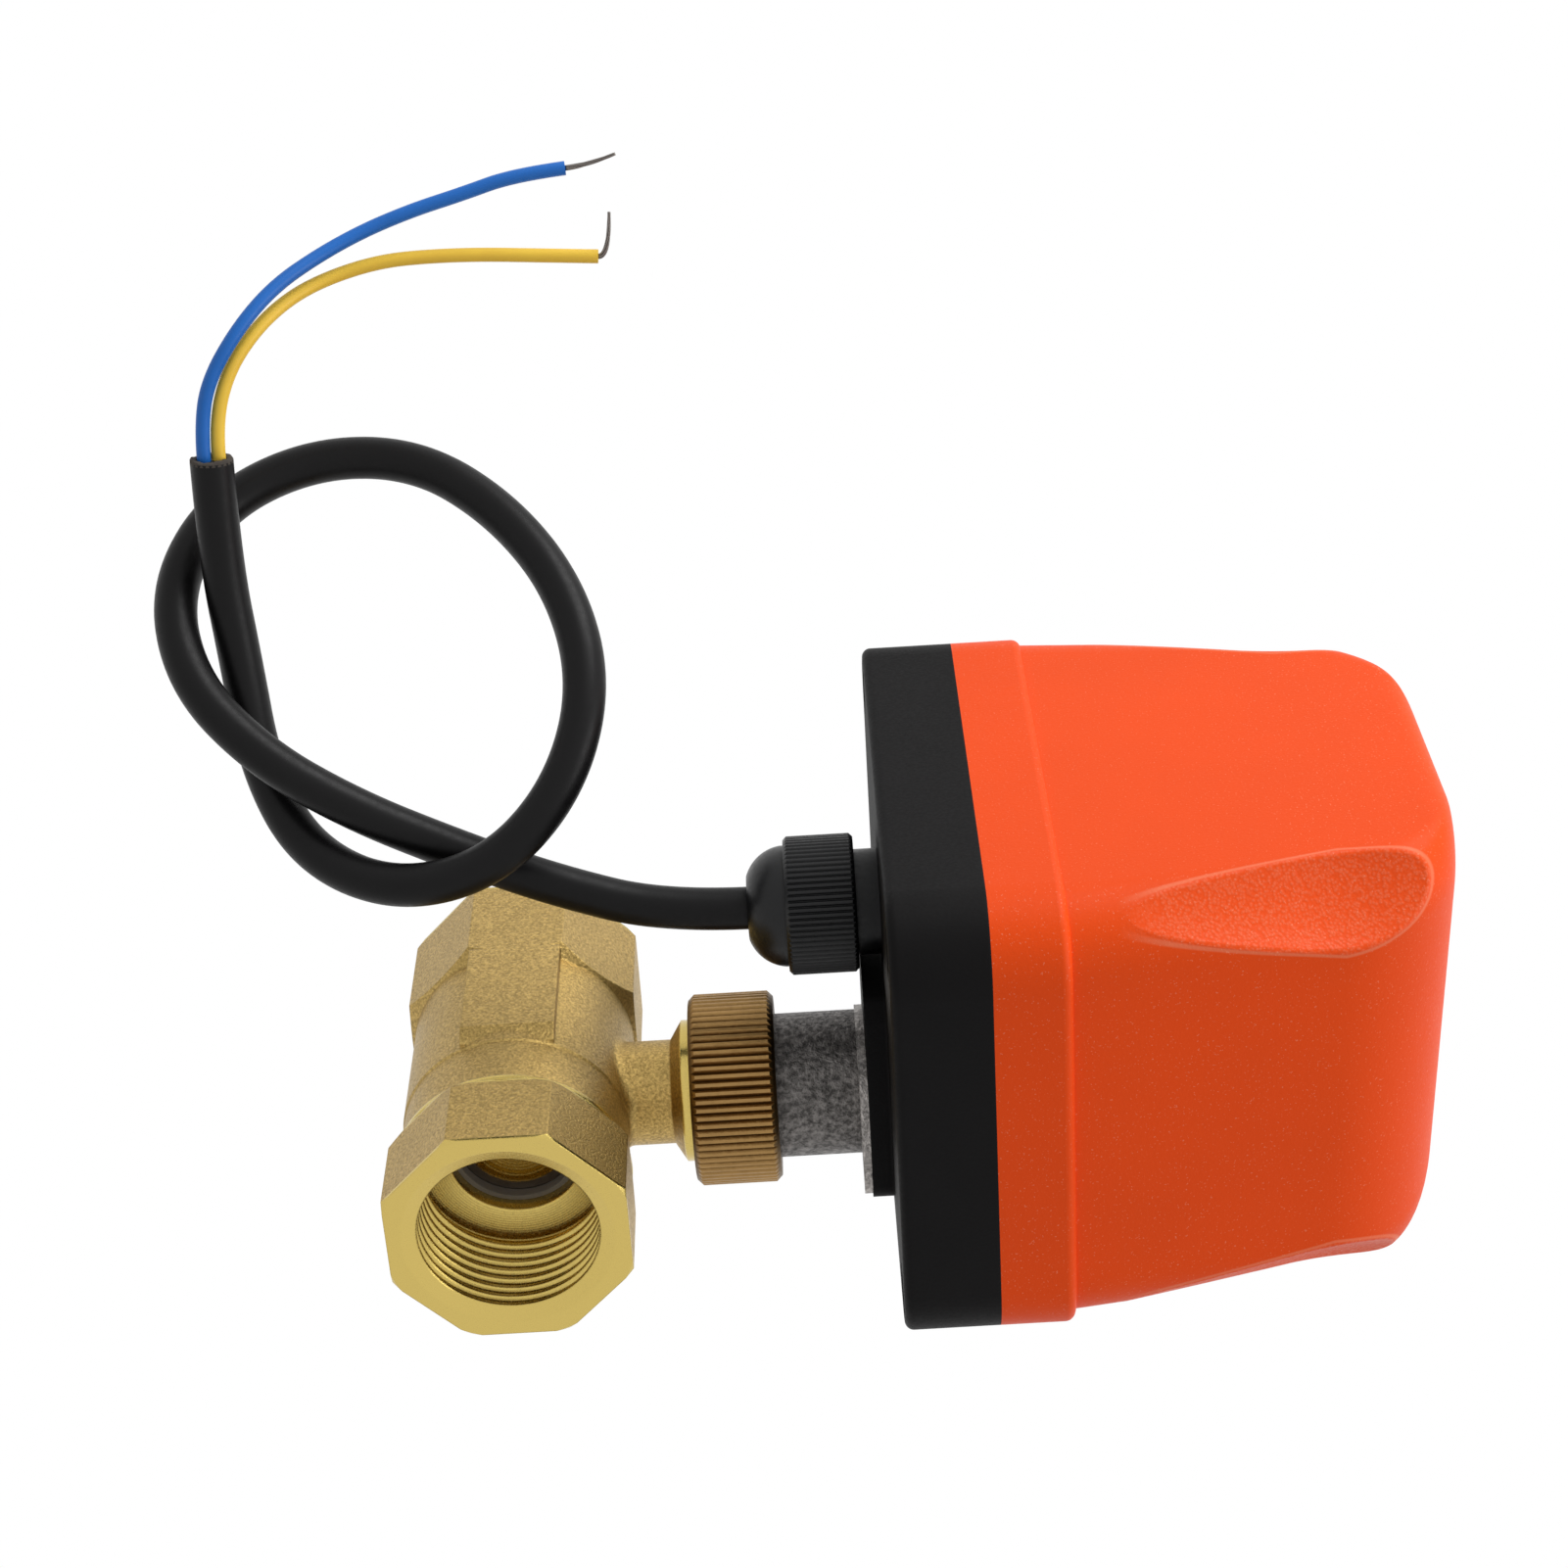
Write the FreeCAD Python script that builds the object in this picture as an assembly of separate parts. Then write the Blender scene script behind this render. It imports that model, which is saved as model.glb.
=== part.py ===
import FreeCAD, Part
import math
import os
from FreeCAD import Vector

# Motorized ball valve, millimetres, +Z up along the stem, pipe along X.
# The origin is on the pipe axis where the inlet thread starts.

# Driving dimensions: valve body and ports
ACROSS_FLATS = 32.0
PIPE_LENGTH = 61.7
MOUTH_CHAMFER = 1.0
MOUTH_R = 14.06
INLET_CREST_R = 12.06
OUTLET_CREST_R = 12.26
THREAD_MAJOR_R = 13.22
THREAD_PITCH = 1.814
THREAD_TURNS = 7
CREST_SHARE = 0.3
RELIEF_R = 13.35
RELIEF_LENGTH = 2.2
CONE_LENGTH = 1.3
WATERWAY_R = 9.0
SEAM_X = 12.3
BEVEL = 1.5
BARREL_R = 15.4
CAST_BARREL_R = 15.6
RIM_R = 16.05
RIM_WIDTH = 0.95
CAST_BARREL_X = 22.0
FAR_NUT_X = 43.35
PAD_HALF_WIDTH = 6.4
PAD_RISE = 0.4
PAD_START_X = 22.6
PAD_RAMP = 2.6

# Ball, seats and the connector's nose
BALL_R = 12.5
BALL_BORE_R = 8.0
CHAMBER_R = 13.1
NOSE_R = 14.2
NOSE_OFFSET = 7.85
SEAT_NEAR = 7.4
SEAT_FAR = 10.9
SEAT_BORE_R = 8.3
SEAT_R = 11.6
BALL_CLEARANCE = 0.03
FIT = 0.02
RUNNING = 0.05
O_RING_THICK = 1.3
CONNECTOR_RING_X = 17.6

# Stem and the tube that it stands in
STEM_R = 3.95
STEM_FLANGE_R = 5.5
STEM_FLANGE_Z = 12.65
STEM_FLANGE_THICK = 1.25
WASHER_THICK = 1.0
TANG_WIDTH = 3.6
TANG_LENGTH = 8.4
SLOT_FLOOR_Z = 9.6
STEM_SQUARE = 5.5
STEM_SQUARE_HEIGHT = 6.0
STEM_RING_Z = (18.5, 22.5)
STUB_R = 7.2
STUB_FILLET = 1.6
COLLAR_Z = 23.0
COLLAR_R = 9.8
HEAD_R = 11.3
HEAD_Z = 24.2
HEAD_TOP = 31.0

# Union nut and the adapter neck
NUT_R = 13.24
NUT_LOW = 24.2
NUT_TOP = 35.96
NUT_LIP = 1.45
NUT_RIBS = 72
NUT_RIB_DEPTH = 0.5
NUT_CHAMFER = 0.8
NECK_R = 9.95
NECK_BORE_R = 5.6
NECK_GAP = 0.3
CLIP_Z = 33.0
CLIP_THICK = 1.2
CLIP_R = 11.2
CLIP_GROOVE_R = 9.0
CLIP_GAP = 5.0
LUG_WIDTH = 3.8
LUG_DEPTH = 1.6
LUG_INNER_R = 6.6
LUG_OUTER_R = 9.4
FLANGE_HALF_X = 12.8
FLANGE_Y = (-11.4, 8.7)
FLANGE_CUT = 9.95
FLANGE_LOW = 47.2
FLANGE_SHOWN = 1.1
FLANGE_THICK = 3.1
SPIGOT_R = 8.0
SPIGOT_TOP = 55.0

# Drive shaft and its bushes
SHAFT_R = 4.5
SOCKET_R = 5.4
SHAFT_END_R = 2.6
BUSH_LENGTH = 5.0
BUSH_LOW_Z = 38.5
SHAFT_FLAT = 3.6

# Housing outline and levels
HOUSING_HALF_X = 41.04
HOUSING_LOW_Y = -16.06
HOUSING_HIGH_Y = 50.08
HOUSING_CORNER = 10.0
BASE_LOW = 51.24
BASE_TOP = 63.75
BASE_EDGE = 1.2
WALL = 2.6
FLOOR = 2.5
PAD_LOW = 48.3
PAD_HALF_X = 13.0
PAD_Y = (-11.9, 21.0)
PAD_CORNER = 3.0
GASKET_INSET = 0.8
GASKET_WIDTH = 1.0
GASKET_THICK = 0.9

# Cover
LIP_TOP = 73.57
LIP_EDGE = 1.3
COVER_INSET_X = 1.44
COVER_INSET_LOW_Y = 1.29
COVER_INSET_HIGH_Y = 0.56
COVER_CORNER = 9.1
COVER_END = 123.76
DRAFT_X = 6.0
DRAFT_LOW_Y = 1.4
DRAFT_HIGH_Y = 0.1
END_CORNER = 8.0
END_LEAN = 0.0297
SHOULDER_R = 19.0
END_EDGE_LOW_Y = 7.3
END_EDGE_HIGH_Y = 3.2
SIDE_STEPS = 11
SHOULDER_STEPS = 10
SCALLOP_OUT = 8.75
SCALLOP_RIM = 0.7
SCALLOP_R = 20.45
SCALLOP_TAPER = 12.5
SCALLOP_BLEND_R = 48.5
SCALLOP_MIDDLE_Z = 100.0
SCALLOP_START_Z = 84.0
SCALLOP_FULL_Z = 113.0
SCALLOP_LOW_Z = 76.0
SCREW_INSET_X = 6.54
SCREW_INSET_Y = 6.56
SCREW_BOSS_R = 4.2
SCREW_R = 1.9
SCREW_HEAD_R = 3.4
SCREW_HEAD_THICK = 2.6
SCREW_RECESS = 3.3
BOSS_RISE = 12.0

# Gear train and its plates, places relative to the stem axis
PLATE_THICK = 1.5
PLATE_STAND = 3.26
PLATE_HALF_X = 29.0
PLATE_Y = (-12.0, 40.5)
PLATE_CORNER = 3.0
POST_X = 23.5
POST_Y = (-8.0, 37.0)
POST_R = 2.5
POST_TAIL_R = 1.5
FLOOR_BOSS_R = 4.0
PIN_R = 1.5
PIN_SHOULDER_R = 1.9
OUTPUT_THICK = 4.0
WHEEL_THICK = 2.0
WHEEL_GAP = 0.5
TRAIN_GAP = 1.0
OUTPUT_TEETH = 40
OUTPUT_MODULE = 0.6
PINION_TEETH = 12
WHEEL_MODULE = 0.5
SLOW_WHEEL_TEETH = 48
FAST_WHEEL_TEETH = 44
MOTOR_PINION_TEETH = 10
SLOW_ANGLE = 160.0
FAST_ANGLE = 80.0
MOTOR_ANGLE = -8.0
HUB_R = 2.6

# Motor
MOTOR_R = 21.0
MOTOR_HEIGHT = 21.5
MOTOR_SHAFT_R = 1.5
MOTOR_EAR = 24.6

# Limit switches and their cam
CAM_GAP = 0.7
CAM_THICK = 4.0
CAM_COLLAR = 1.8
CAM_LOW_R = 6.5
CAM_RISE = 1.2
CAM_RAMP = 75.0
LEVER_GAP = 0.15
LEVER_THICK = 0.4
LEVER_WIDTH = 3.2
LEVER_ARM = 9.0
LEVER_REACH = 10.2
LEVER_LOOP_R = 0.9
SWITCH_FACE = 2.05
SWITCH_SIZE = (6.4, 12.5, 5.6)
SWITCH_DROP = 0.6
SWITCH_LEG_Y = (-7.5, -3.3, 0.9)
SWITCH_LEG_REACH = 2.6
SWITCH_LEG_Z = 2.5

# Control board
BOARD_GAP = 3.0
BOARD_THICK = 1.6
BOARD_HALF_X = 28.0
BOARD_Y = (-10.0, 40.0)
BOARD_CORNER = 6.0
CAPACITOR_R = 8.0
CAPACITOR_LENGTH = 26.0
CAPACITOR_Y = -5.4
CAPACITOR_SPACING = 17.0
RELAY_SIZE = (19.0, 11.0, 12.5)
RELAY_PLACE = (-22.0, 23.0)
TERMINAL_SIZE = (8.0, 13.0, 9.0)
TERMINAL_PLACE = (19.5, 20.0)
TERMINAL_POLES_Y = (23.5, 29.5)
TERMINAL_SCREW_R = 1.9
DIODE_SIZE = (1.4, 5.0)
DIODE_X = 12.5
DIODE_SPACING = 5.0

# Leads inside the housing
LEAD_EDGE_GAP = 1.2
LEAD_TURN_RISE = 5.5
LEAD_LEVELS = (2.5, -0.3)
THIN_LEAD_R = 0.75

# Cable gland
GLAND_Y = 29.34
GLAND_NUT_R = 9.34
GLAND_NUT_LOW = 38.75
GLAND_NUT_TOP = 48.16
GLAND_DOME_LOW = 33.6
GLAND_MOUTH_R = 3.6
GLAND_NECK_R = 7.12
GLAND_THREAD_R = 7.9
GLAND_RIBS = 72
GLAND_TOP = 59.5
GLAND_SEAL_R = 5.6
GLAND_SEAL_LENGTH = 8.6
GLAND_DOME_MOUTH_R = 4.3
GLAND_DOME_R = 8.15
GLAND_DOME_MIDDLE = (6.9, 35.4)
GLAND_WALL = 2.2
LOCK_NUT_FLATS = 18.0
LOCK_NUT_THICK = 3.0

# Cable
JACKET_R = 2.9
WIRE_R = 0.95
STRAND_R = 0.4
CORD_START_Z = 35.4

# The cable's free route, from the gland round its loop to the stripped end,
# as places relative to the stem axis
JACKET_ROUTE = [
    (0.0, 29.34, 35.4), (0.0, 29.34, 22.8), (1.6, 33.9, 7.5), (3.0, 39.7, -5.8),
    (3.9, 46.1, -18.2), (6.6, 53.3, -29.8), (13.6, 61.3, -39.2), (24.8, 69.7, -42.1),
    (35.6, 77.0, -36.1), (41.6, 80.6, -23.0), (40.2, 80.2, -8.5), (31.9, 75.3, 3.4),
    (20.9, 68.2, 11.8), (9.4, 59.3, 14.7), (-0.2, 49.3, 10.5), (-4.9, 40.7, 0.5),
    (-3.6, 37.3, -13.1), (3.4, 40.0, -25.0), (12.6, 48.2, -31.1), (20.2, 60.5, -33.0),
    (24.2, 74.0, -34.4), (26.4, 87.7, -33.9)]
BLUE_ROUTE = [
    (26.01, 87.82, -34.82), (26.65, 91.79, -34.68), (27.7, 98.1, -33.2), (30.4, 104.2, -28.8),
    (35.1, 108.1, -24.0), (39.9, 110.3, -18.3), (43.1, 112.3, -12.2), (44.9, 114.1, -5.6),
    (46.1, 115.5, 1.1), (47.4, 117.2, 8.0), (48.2, 117.5, 15.0)]
YELLOW_ROUTE = [
    (26.79, 87.62, -32.98), (27.58, 92.56, -32.8), (29.6, 98.8, -30.6), (32.9, 103.3, -26.7),
    (37.6, 105.7, -22.2), (40.9, 107.0, -16.9), (42.2, 108.2, -10.3), (42.7, 108.3, -3.9),
    (43.0, 108.0, 3.1), (43.1, 107.3, 11.2), (43.1, 106.7, 18.7)]
BLUE_STRANDS = [(48.2, 117.5, 15.02), (48.57, 117.64, 18.3), (49.3, 118.7, 21.8)]
YELLOW_STRANDS = [(43.1, 106.7, 18.72), (43.15, 106.55, 20.2), (44.0, 112.5, 20.6)]

LOWER_PLATE_Z = BASE_LOW + FLOOR + PLATE_STAND
CAM_Z = LOWER_PLATE_Z + PLATE_THICK + CAM_GAP
SWITCH_Z = CAM_Z - SWITCH_DROP
OUTPUT_Z = CAM_Z + CAM_THICK + CAM_COLLAR
SECOND_Z = OUTPUT_Z + OUTPUT_THICK + WHEEL_GAP
THIRD_Z = SECOND_Z + WHEEL_THICK + WHEEL_GAP
UPPER_PLATE_Z = THIRD_Z + WHEEL_THICK + TRAIN_GAP
BOARD_Z = UPPER_PLATE_Z + PLATE_THICK + MOTOR_HEIGHT + BOARD_GAP
LEAD_X = PLATE_HALF_X + LEAD_EDGE_GAP
LEAD_TURN_Z = UPPER_PLATE_Z + PLATE_THICK + LEAD_TURN_RISE

STEM_X = PIPE_LENGTH / 2 - MOUTH_CHAMFER
THREAD_LENGTH = (THREAD_TURNS + CREST_SHARE) * THREAD_PITCH
HALF_ROOT = math.sqrt(0.5)

PARTS = {}


def at(x, y, z):
    return Vector(STEM_X + x, y, z)


def rod(radius, low, high, x=0.0, y=0.0):
    return Part.makeCylinder(radius, high - low, at(x, y, low))


def ring(inner, outer, low, high, x=0.0, y=0.0):
    return rod(outer, low, high, x, y).cut(rod(inner, low - 1, high + 1, x, y))


def block(x_range, y_range, z_range):
    size = [b - a for a, b in (x_range, y_range, z_range)]
    return Part.makeBox(*size, at(x_range[0], y_range[0], z_range[0]))


def pipe_rod(radius, x_low, x_high):
    return Part.makeCylinder(radius, x_high - x_low, Vector(x_low, 0, 0), Vector(1, 0, 0))


def turned_on_pipe(points):
    outline = Part.makePolygon([Vector(x, r, 0) for x, r in points + points[:1]])
    return Part.Face(outline).revolve(Vector(0, 0, 0), Vector(1, 0, 0), 360)


def turned_on_axis(points, x=0.0, y=0.0):
    outline = Part.makePolygon([at(x + r, y, z) for r, z in points + points[:1]])
    return Part.Face(outline).revolve(at(x, y, 0), Vector(0, 0, 1), 360)


def rounded_outline(half_x, y_low, y_high, corner, z, lean=0.0):
    """Rectangle with round corners; lean raises it along Y by that share."""
    low, high = -half_x, half_x

    def spot(x, y):
        return at(x, y, z + lean * (y - (y_low + y_high) / 2))

    k = corner * (1 - HALF_ROOT)
    arcs = [
        (high - corner, y_low, high - k, y_low + k, high, y_low + corner),
        (high, y_high - corner, high - k, y_high - k, high - corner, y_high),
        (low + corner, y_high, low + k, y_high - k, low, y_high - corner),
        (low, y_low + corner, low + k, y_low + k, low + corner, y_low)]
    edges = []
    for index, (x1, y1, xm, ym, x2, y2) in enumerate(arcs):
        following = arcs[(index + 1) % 4]
        edges.append(Part.Arc(spot(x1, y1), spot(xm, ym), spot(x2, y2)).toShape())
        edges.append(Part.makeLine(spot(x2, y2), spot(following[0], following[1])))
    return Part.Wire(edges)


def rounded_block(half_x, y_range, corner, z_range):
    face = Part.Face(rounded_outline(half_x, y_range[0], y_range[1], corner, z_range[0]))
    return face.extrude(Vector(0, 0, z_range[1] - z_range[0]))


def polygon_prism(points, low, high):
    outline = Part.makePolygon([Vector(x, y, low) for x, y in points + points[:1]])
    return Part.Face(outline).extrude(Vector(0, 0, high - low))


def hexagon(flats, low, high, x=0.0, y=0.0):
    radius = flats / 2 / math.cos(math.pi / 6)
    angles = [math.radians(60 * i) for i in range(6)]
    points = [(STEM_X + x + radius * math.cos(a), y + radius * math.sin(a)) for a in angles]
    return polygon_prism(points, low, high)


def routed_wire(points, share=0.45, radius=None):
    """Straight runs joined by tangent arcs, each as large as its runs allow."""
    edges = []
    radii = []
    start = points[0]
    for before, here, after in zip(points, points[1:], points[2:]):
        to_back = (before - here).normalize()
        to_front = (after - here).normalize()
        half_turn = (math.pi - to_back.getAngle(to_front)) / 2
        room = share * min((before - here).Length, (after - here).Length)
        bend = radius if radius else room / math.tan(half_turn)
        reach = bend * math.tan(half_turn)
        begin = here + to_back * reach
        end = here + to_front * reach
        inward = (to_back + to_front).normalize()
        middle = here + inward * (bend / math.cos(half_turn) - bend)
        edges.append(Part.makeLine(start, begin))
        edges.append(Part.Arc(begin, middle, end).toShape())
        radii.append(bend)
        start = end
    edges.append(Part.makeLine(start, points[-1]))
    return Part.Wire(edges), radii


def tube_along(route, thickness_r, radius=None):
    points = [at(*place) for place in route]
    path, radii = routed_wire(points, radius=radius)
    section = Part.Wire([Part.makeCircle(thickness_r, points[0], points[1] - points[0])])
    solid = path.makePipeShell([section], True, False)
    return solid, path, radii


# Valve


def octagon_block(x_low, x_high, face_r, end_r, end_bevel):
    corner_r = ACROSS_FLATS / 2 / math.cos(math.pi / 8)
    angles = [math.radians(22.5 + 45 * i) for i in range(9)]
    outline = Part.makePolygon(
        [Vector(x_low, corner_r * math.cos(a), corner_r * math.sin(a)) for a in angles])
    prism = Part.Face(outline).extrude(Vector(x_high - x_low, 0, 0))
    spare = corner_r + 0.5
    envelope = turned_on_pipe([
        (x_low, 0), (x_low, face_r), (x_low + spare - face_r, spare),
        (x_high - end_bevel, spare), (x_high, end_r), (x_high, 0)])
    return prism.common(envelope)


def port_space(reach, crest_r):
    """The space of one port, from its mouth to the seat, with the thread's turns."""
    points = [(-2 * MOUTH_CHAMFER, 0), (-2 * MOUTH_CHAMFER, MOUTH_R + MOUTH_CHAMFER)]
    points.append((-MOUTH_CHAMFER, MOUTH_R))
    points.append((0, crest_r))
    for turn in range(THREAD_TURNS):
        crest_end = (turn + CREST_SHARE) * THREAD_PITCH
        root = (turn + 0.5 + CREST_SHARE / 2) * THREAD_PITCH
        points.append((crest_end, crest_r))
        points.append((root, THREAD_MAJOR_R))
        points.append(((turn + 1) * THREAD_PITCH, crest_r))
    points.append((THREAD_LENGTH, crest_r))
    points.append((THREAD_LENGTH + RELIEF_R - crest_r, RELIEF_R))
    cone_start = THREAD_LENGTH + RELIEF_LENGTH
    points.append((cone_start, RELIEF_R))
    points.append((cone_start + CONE_LENGTH, WATERWAY_R))
    points.append((reach, WATERWAY_R))
    points.append((reach, 0))
    return turned_on_pipe(points)


def make_end_connector():
    face_r = ACROSS_FLATS / 2 + 0.75
    outer = octagon_block(-MOUTH_CHAMFER, SEAM_X, face_r, RIM_R + 0.15, BEVEL)
    nose_end = STEM_X - NOSE_OFFSET
    outer = outer.fuse(pipe_rod(NOSE_R, SEAM_X - 1, nose_end))
    seat_floor = STEM_X - SEAT_FAR
    outer = outer.cut(port_space(seat_floor + 1, INLET_CREST_R))
    outer = outer.cut(pipe_rod(SEAT_R + RUNNING, seat_floor, nose_end + 1))
    groove = pipe_rod(NOSE_R + 1, CONNECTOR_RING_X, CONNECTOR_RING_X + O_RING_THICK + 0.2)
    groove = groove.cut(pipe_rod(NOSE_R - O_RING_THICK, 0, nose_end))
    return outer.cut(groove)


def make_connector_ring():
    centre_x = CONNECTOR_RING_X + O_RING_THICK / 2 + 0.1
    centre_r = NOSE_R - O_RING_THICK / 2
    return Part.makeTorus(centre_r, O_RING_THICK / 2, Vector(centre_x, 0, 0), Vector(1, 0, 0))


def valve_head():
    slot_half = LUG_WIDTH / 2 + 0.1
    head = turned_on_axis([
        (0, 0), (STUB_R, 0), (STUB_R, COLLAR_Z - 1.6), (COLLAR_R, COLLAR_Z),
        (COLLAR_R, HEAD_Z), (HEAD_R - 0.9, HEAD_Z), (HEAD_R, HEAD_Z + 0.9),
        (HEAD_R, HEAD_TOP - 0.6), (HEAD_R - 0.6, HEAD_TOP), (0, HEAD_TOP)])
    depth = HEAD_TOP + NECK_GAP - LUG_DEPTH - NECK_GAP - 0.2
    slot = block((-slot_half, slot_half), (-HEAD_R - 1, HEAD_R + 1), (depth, HEAD_TOP + 1))
    slot = slot.cut(rod(LUG_INNER_R - 0.2, depth - 1, HEAD_TOP + 2))
    return head.cut(slot)


def make_valve_body():
    far_x = PIPE_LENGTH - MOUTH_CHAMFER
    barrel = turned_on_pipe([
        (SEAM_X, 0), (SEAM_X, RIM_R - 0.2), (SEAM_X + 0.2, RIM_R),
        (SEAM_X + RIM_WIDTH, RIM_R), (SEAM_X + RIM_WIDTH + 0.3, BARREL_R),
        (CAST_BARREL_X, BARREL_R), (CAST_BARREL_X + 0.3, CAST_BARREL_R),
        (FAR_NUT_X + 2, CAST_BARREL_R), (FAR_NUT_X + 2, 0)])
    face_r = ACROSS_FLATS / 2 + 0.75
    far_nut = octagon_block(FAR_NUT_X, far_x, CAST_BARREL_R, face_r, 1.1)
    body = barrel.fuse(valve_head())
    junction = [e for e in body.Edges if e.BoundBox.ZMin > CAST_BARREL_R - 4
                and e.BoundBox.ZMax < CAST_BARREL_R + 0.5
                and abs(e.BoundBox.XLength - 2 * STUB_R) < 0.4]
    body = body.makeFillet(STUB_FILLET, junction)
    pad_top = CAST_BARREL_R + PAD_RISE
    pad_side = [(PAD_START_X, 0), (PAD_START_X, BARREL_R - 0.6), (PAD_START_X + PAD_RAMP, pad_top),
                (FAR_NUT_X + 1, pad_top), (FAR_NUT_X + 1, 0)]
    pad = polygon_prism(pad_side, -PAD_HALF_WIDTH, PAD_HALF_WIDTH)
    body = body.fuse([far_nut, pad])
    nose_end = STEM_X - NOSE_OFFSET
    body = body.cut(pipe_rod(NOSE_R + FIT, SEAM_X - 1, nose_end))
    body = body.cut(pipe_rod(CHAMBER_R, nose_end - 1, STEM_X + NOSE_OFFSET))
    body = body.cut(pipe_rod(SEAT_R + RUNNING, STEM_X, STEM_X + SEAT_FAR))
    outlet = port_space(STEM_X - SEAT_FAR + 1, OUTLET_CREST_R)
    body = body.cut(outlet.mirror(Vector(STEM_X, 0, 0), Vector(1, 0, 0)))
    washer_top = STEM_FLANGE_Z + STEM_FLANGE_THICK + WASHER_THICK
    body = body.cut(rod(STEM_FLANGE_R + RUNNING, 0, washer_top + RUNNING))
    return body.cut(rod(STEM_R + RUNNING, 0, HEAD_TOP + 1))


def make_ball():
    ball = Part.makeSphere(BALL_R, at(0, 0, 0))
    bore = Part.makeCylinder(BALL_BORE_R, 2 * BALL_R + 2, at(0, -BALL_R - 1, 0), Vector(0, 1, 0))
    slot_half = TANG_WIDTH / 2 + FIT
    slot = block((-BALL_R, BALL_R), (-slot_half, slot_half), (SLOT_FLOOR_Z, BALL_R + 1))
    return ball.cut(bore).cut(slot)


def make_seat(side):
    near = STEM_X + side * SEAT_NEAR
    far = STEM_X + side * SEAT_FAR
    low, high = min(near, far), max(near, far)
    seat = pipe_rod(SEAT_R, low, high).cut(pipe_rod(SEAT_BORE_R, low - 1, high + 1))
    return seat.cut(Part.makeSphere(BALL_R + BALL_CLEARANCE, at(0, 0, 0)))


def make_valve_stem():
    flange_top = STEM_FLANGE_Z + STEM_FLANGE_THICK
    stem = rod(STEM_FLANGE_R, STEM_FLANGE_Z, flange_top)
    stem = stem.fuse(rod(STEM_R, flange_top - 0.5, HEAD_TOP))
    half = STEM_SQUARE / 2
    square_top = HEAD_TOP + STEM_SQUARE_HEIGHT
    stem = stem.fuse(block((-half, half), (-half, half), (HEAD_TOP - 1, square_top)))
    tang = block((-TANG_LENGTH / 2, TANG_LENGTH / 2), (-TANG_WIDTH / 2, TANG_WIDTH / 2),
                 (SLOT_FLOOR_Z + 0.2, STEM_FLANGE_Z + 0.5))
    stem = stem.fuse(tang)
    for z in STEM_RING_Z:
        stem = stem.cut(ring(STEM_R - O_RING_THICK, STEM_R + 1, z - 0.8, z + 0.8))
    return stem


def make_stem_rings():
    centre_r = STEM_R - O_RING_THICK / 2
    rings = [Part.makeTorus(centre_r, O_RING_THICK / 2, at(0, 0, z)) for z in STEM_RING_Z]
    return Part.Compound(rings)


def make_thrust_washer():
    low = STEM_FLANGE_Z + STEM_FLANGE_THICK
    return ring(STEM_R + FIT, STEM_FLANGE_R - FIT, low, low + WASHER_THICK)


# Union


def ribbed_ring(outer, depth, ribs, low, high, y=0.0):
    points = []
    for index in range(ribs):
        for share, radius in ((0.0, outer - depth), (0.3, outer), (0.7, outer)):
            angle = 2 * math.pi * (index + share) / ribs
            points.append((STEM_X + radius * math.cos(angle), y + radius * math.sin(angle)))
    return polygon_prism(points, low, high)


def make_coupling_nut():
    nut = ribbed_ring(NUT_R, NUT_RIB_DEPTH, NUT_RIBS, NUT_LOW, NUT_TOP)
    envelope = turned_on_axis([
        (0, NUT_LOW), (NUT_R - NUT_CHAMFER, NUT_LOW), (NUT_R, NUT_LOW + NUT_CHAMFER),
        (NUT_R, NUT_TOP - NUT_CHAMFER), (NUT_R - NUT_CHAMFER, NUT_TOP), (0, NUT_TOP)])
    nut = nut.common(envelope)
    nut = nut.cut(rod(HEAD_R + 2 * RUNNING, NUT_LOW - 1, NUT_TOP - NUT_LIP))
    return nut.cut(rod(NECK_R + 2 * RUNNING, NUT_LOW - 1, NUT_TOP + 1))


def make_retaining_clip():
    clip = ring(CLIP_GROOVE_R + FIT, CLIP_R, CLIP_Z, CLIP_Z + CLIP_THICK)
    half = CLIP_GAP / 2
    return clip.cut(block((0, CLIP_R + 1), (-half, half), (CLIP_Z - 1, CLIP_Z + CLIP_THICK + 1)))


def neck_screw_places():
    return [(-9.8, 6.0), (-9.8, -8.0), (9.8, -8.0)]


def neck_flange(clearance, low, high):
    """The neck's foot, a plate whose corner beside the gland is cut off along the neck."""
    y_range = (FLANGE_Y[0] - clearance, FLANGE_Y[1] + clearance)
    plate = rounded_block(FLANGE_HALF_X + clearance, y_range, PAD_CORNER, (low, high))
    corner = block((FLANGE_CUT + clearance, 40), (-40, 40), (low - 1, high + 1))
    corner.rotate(at(0, 0, 0), Vector(0, 0, 1), 60)
    return plate.cut(corner)


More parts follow.
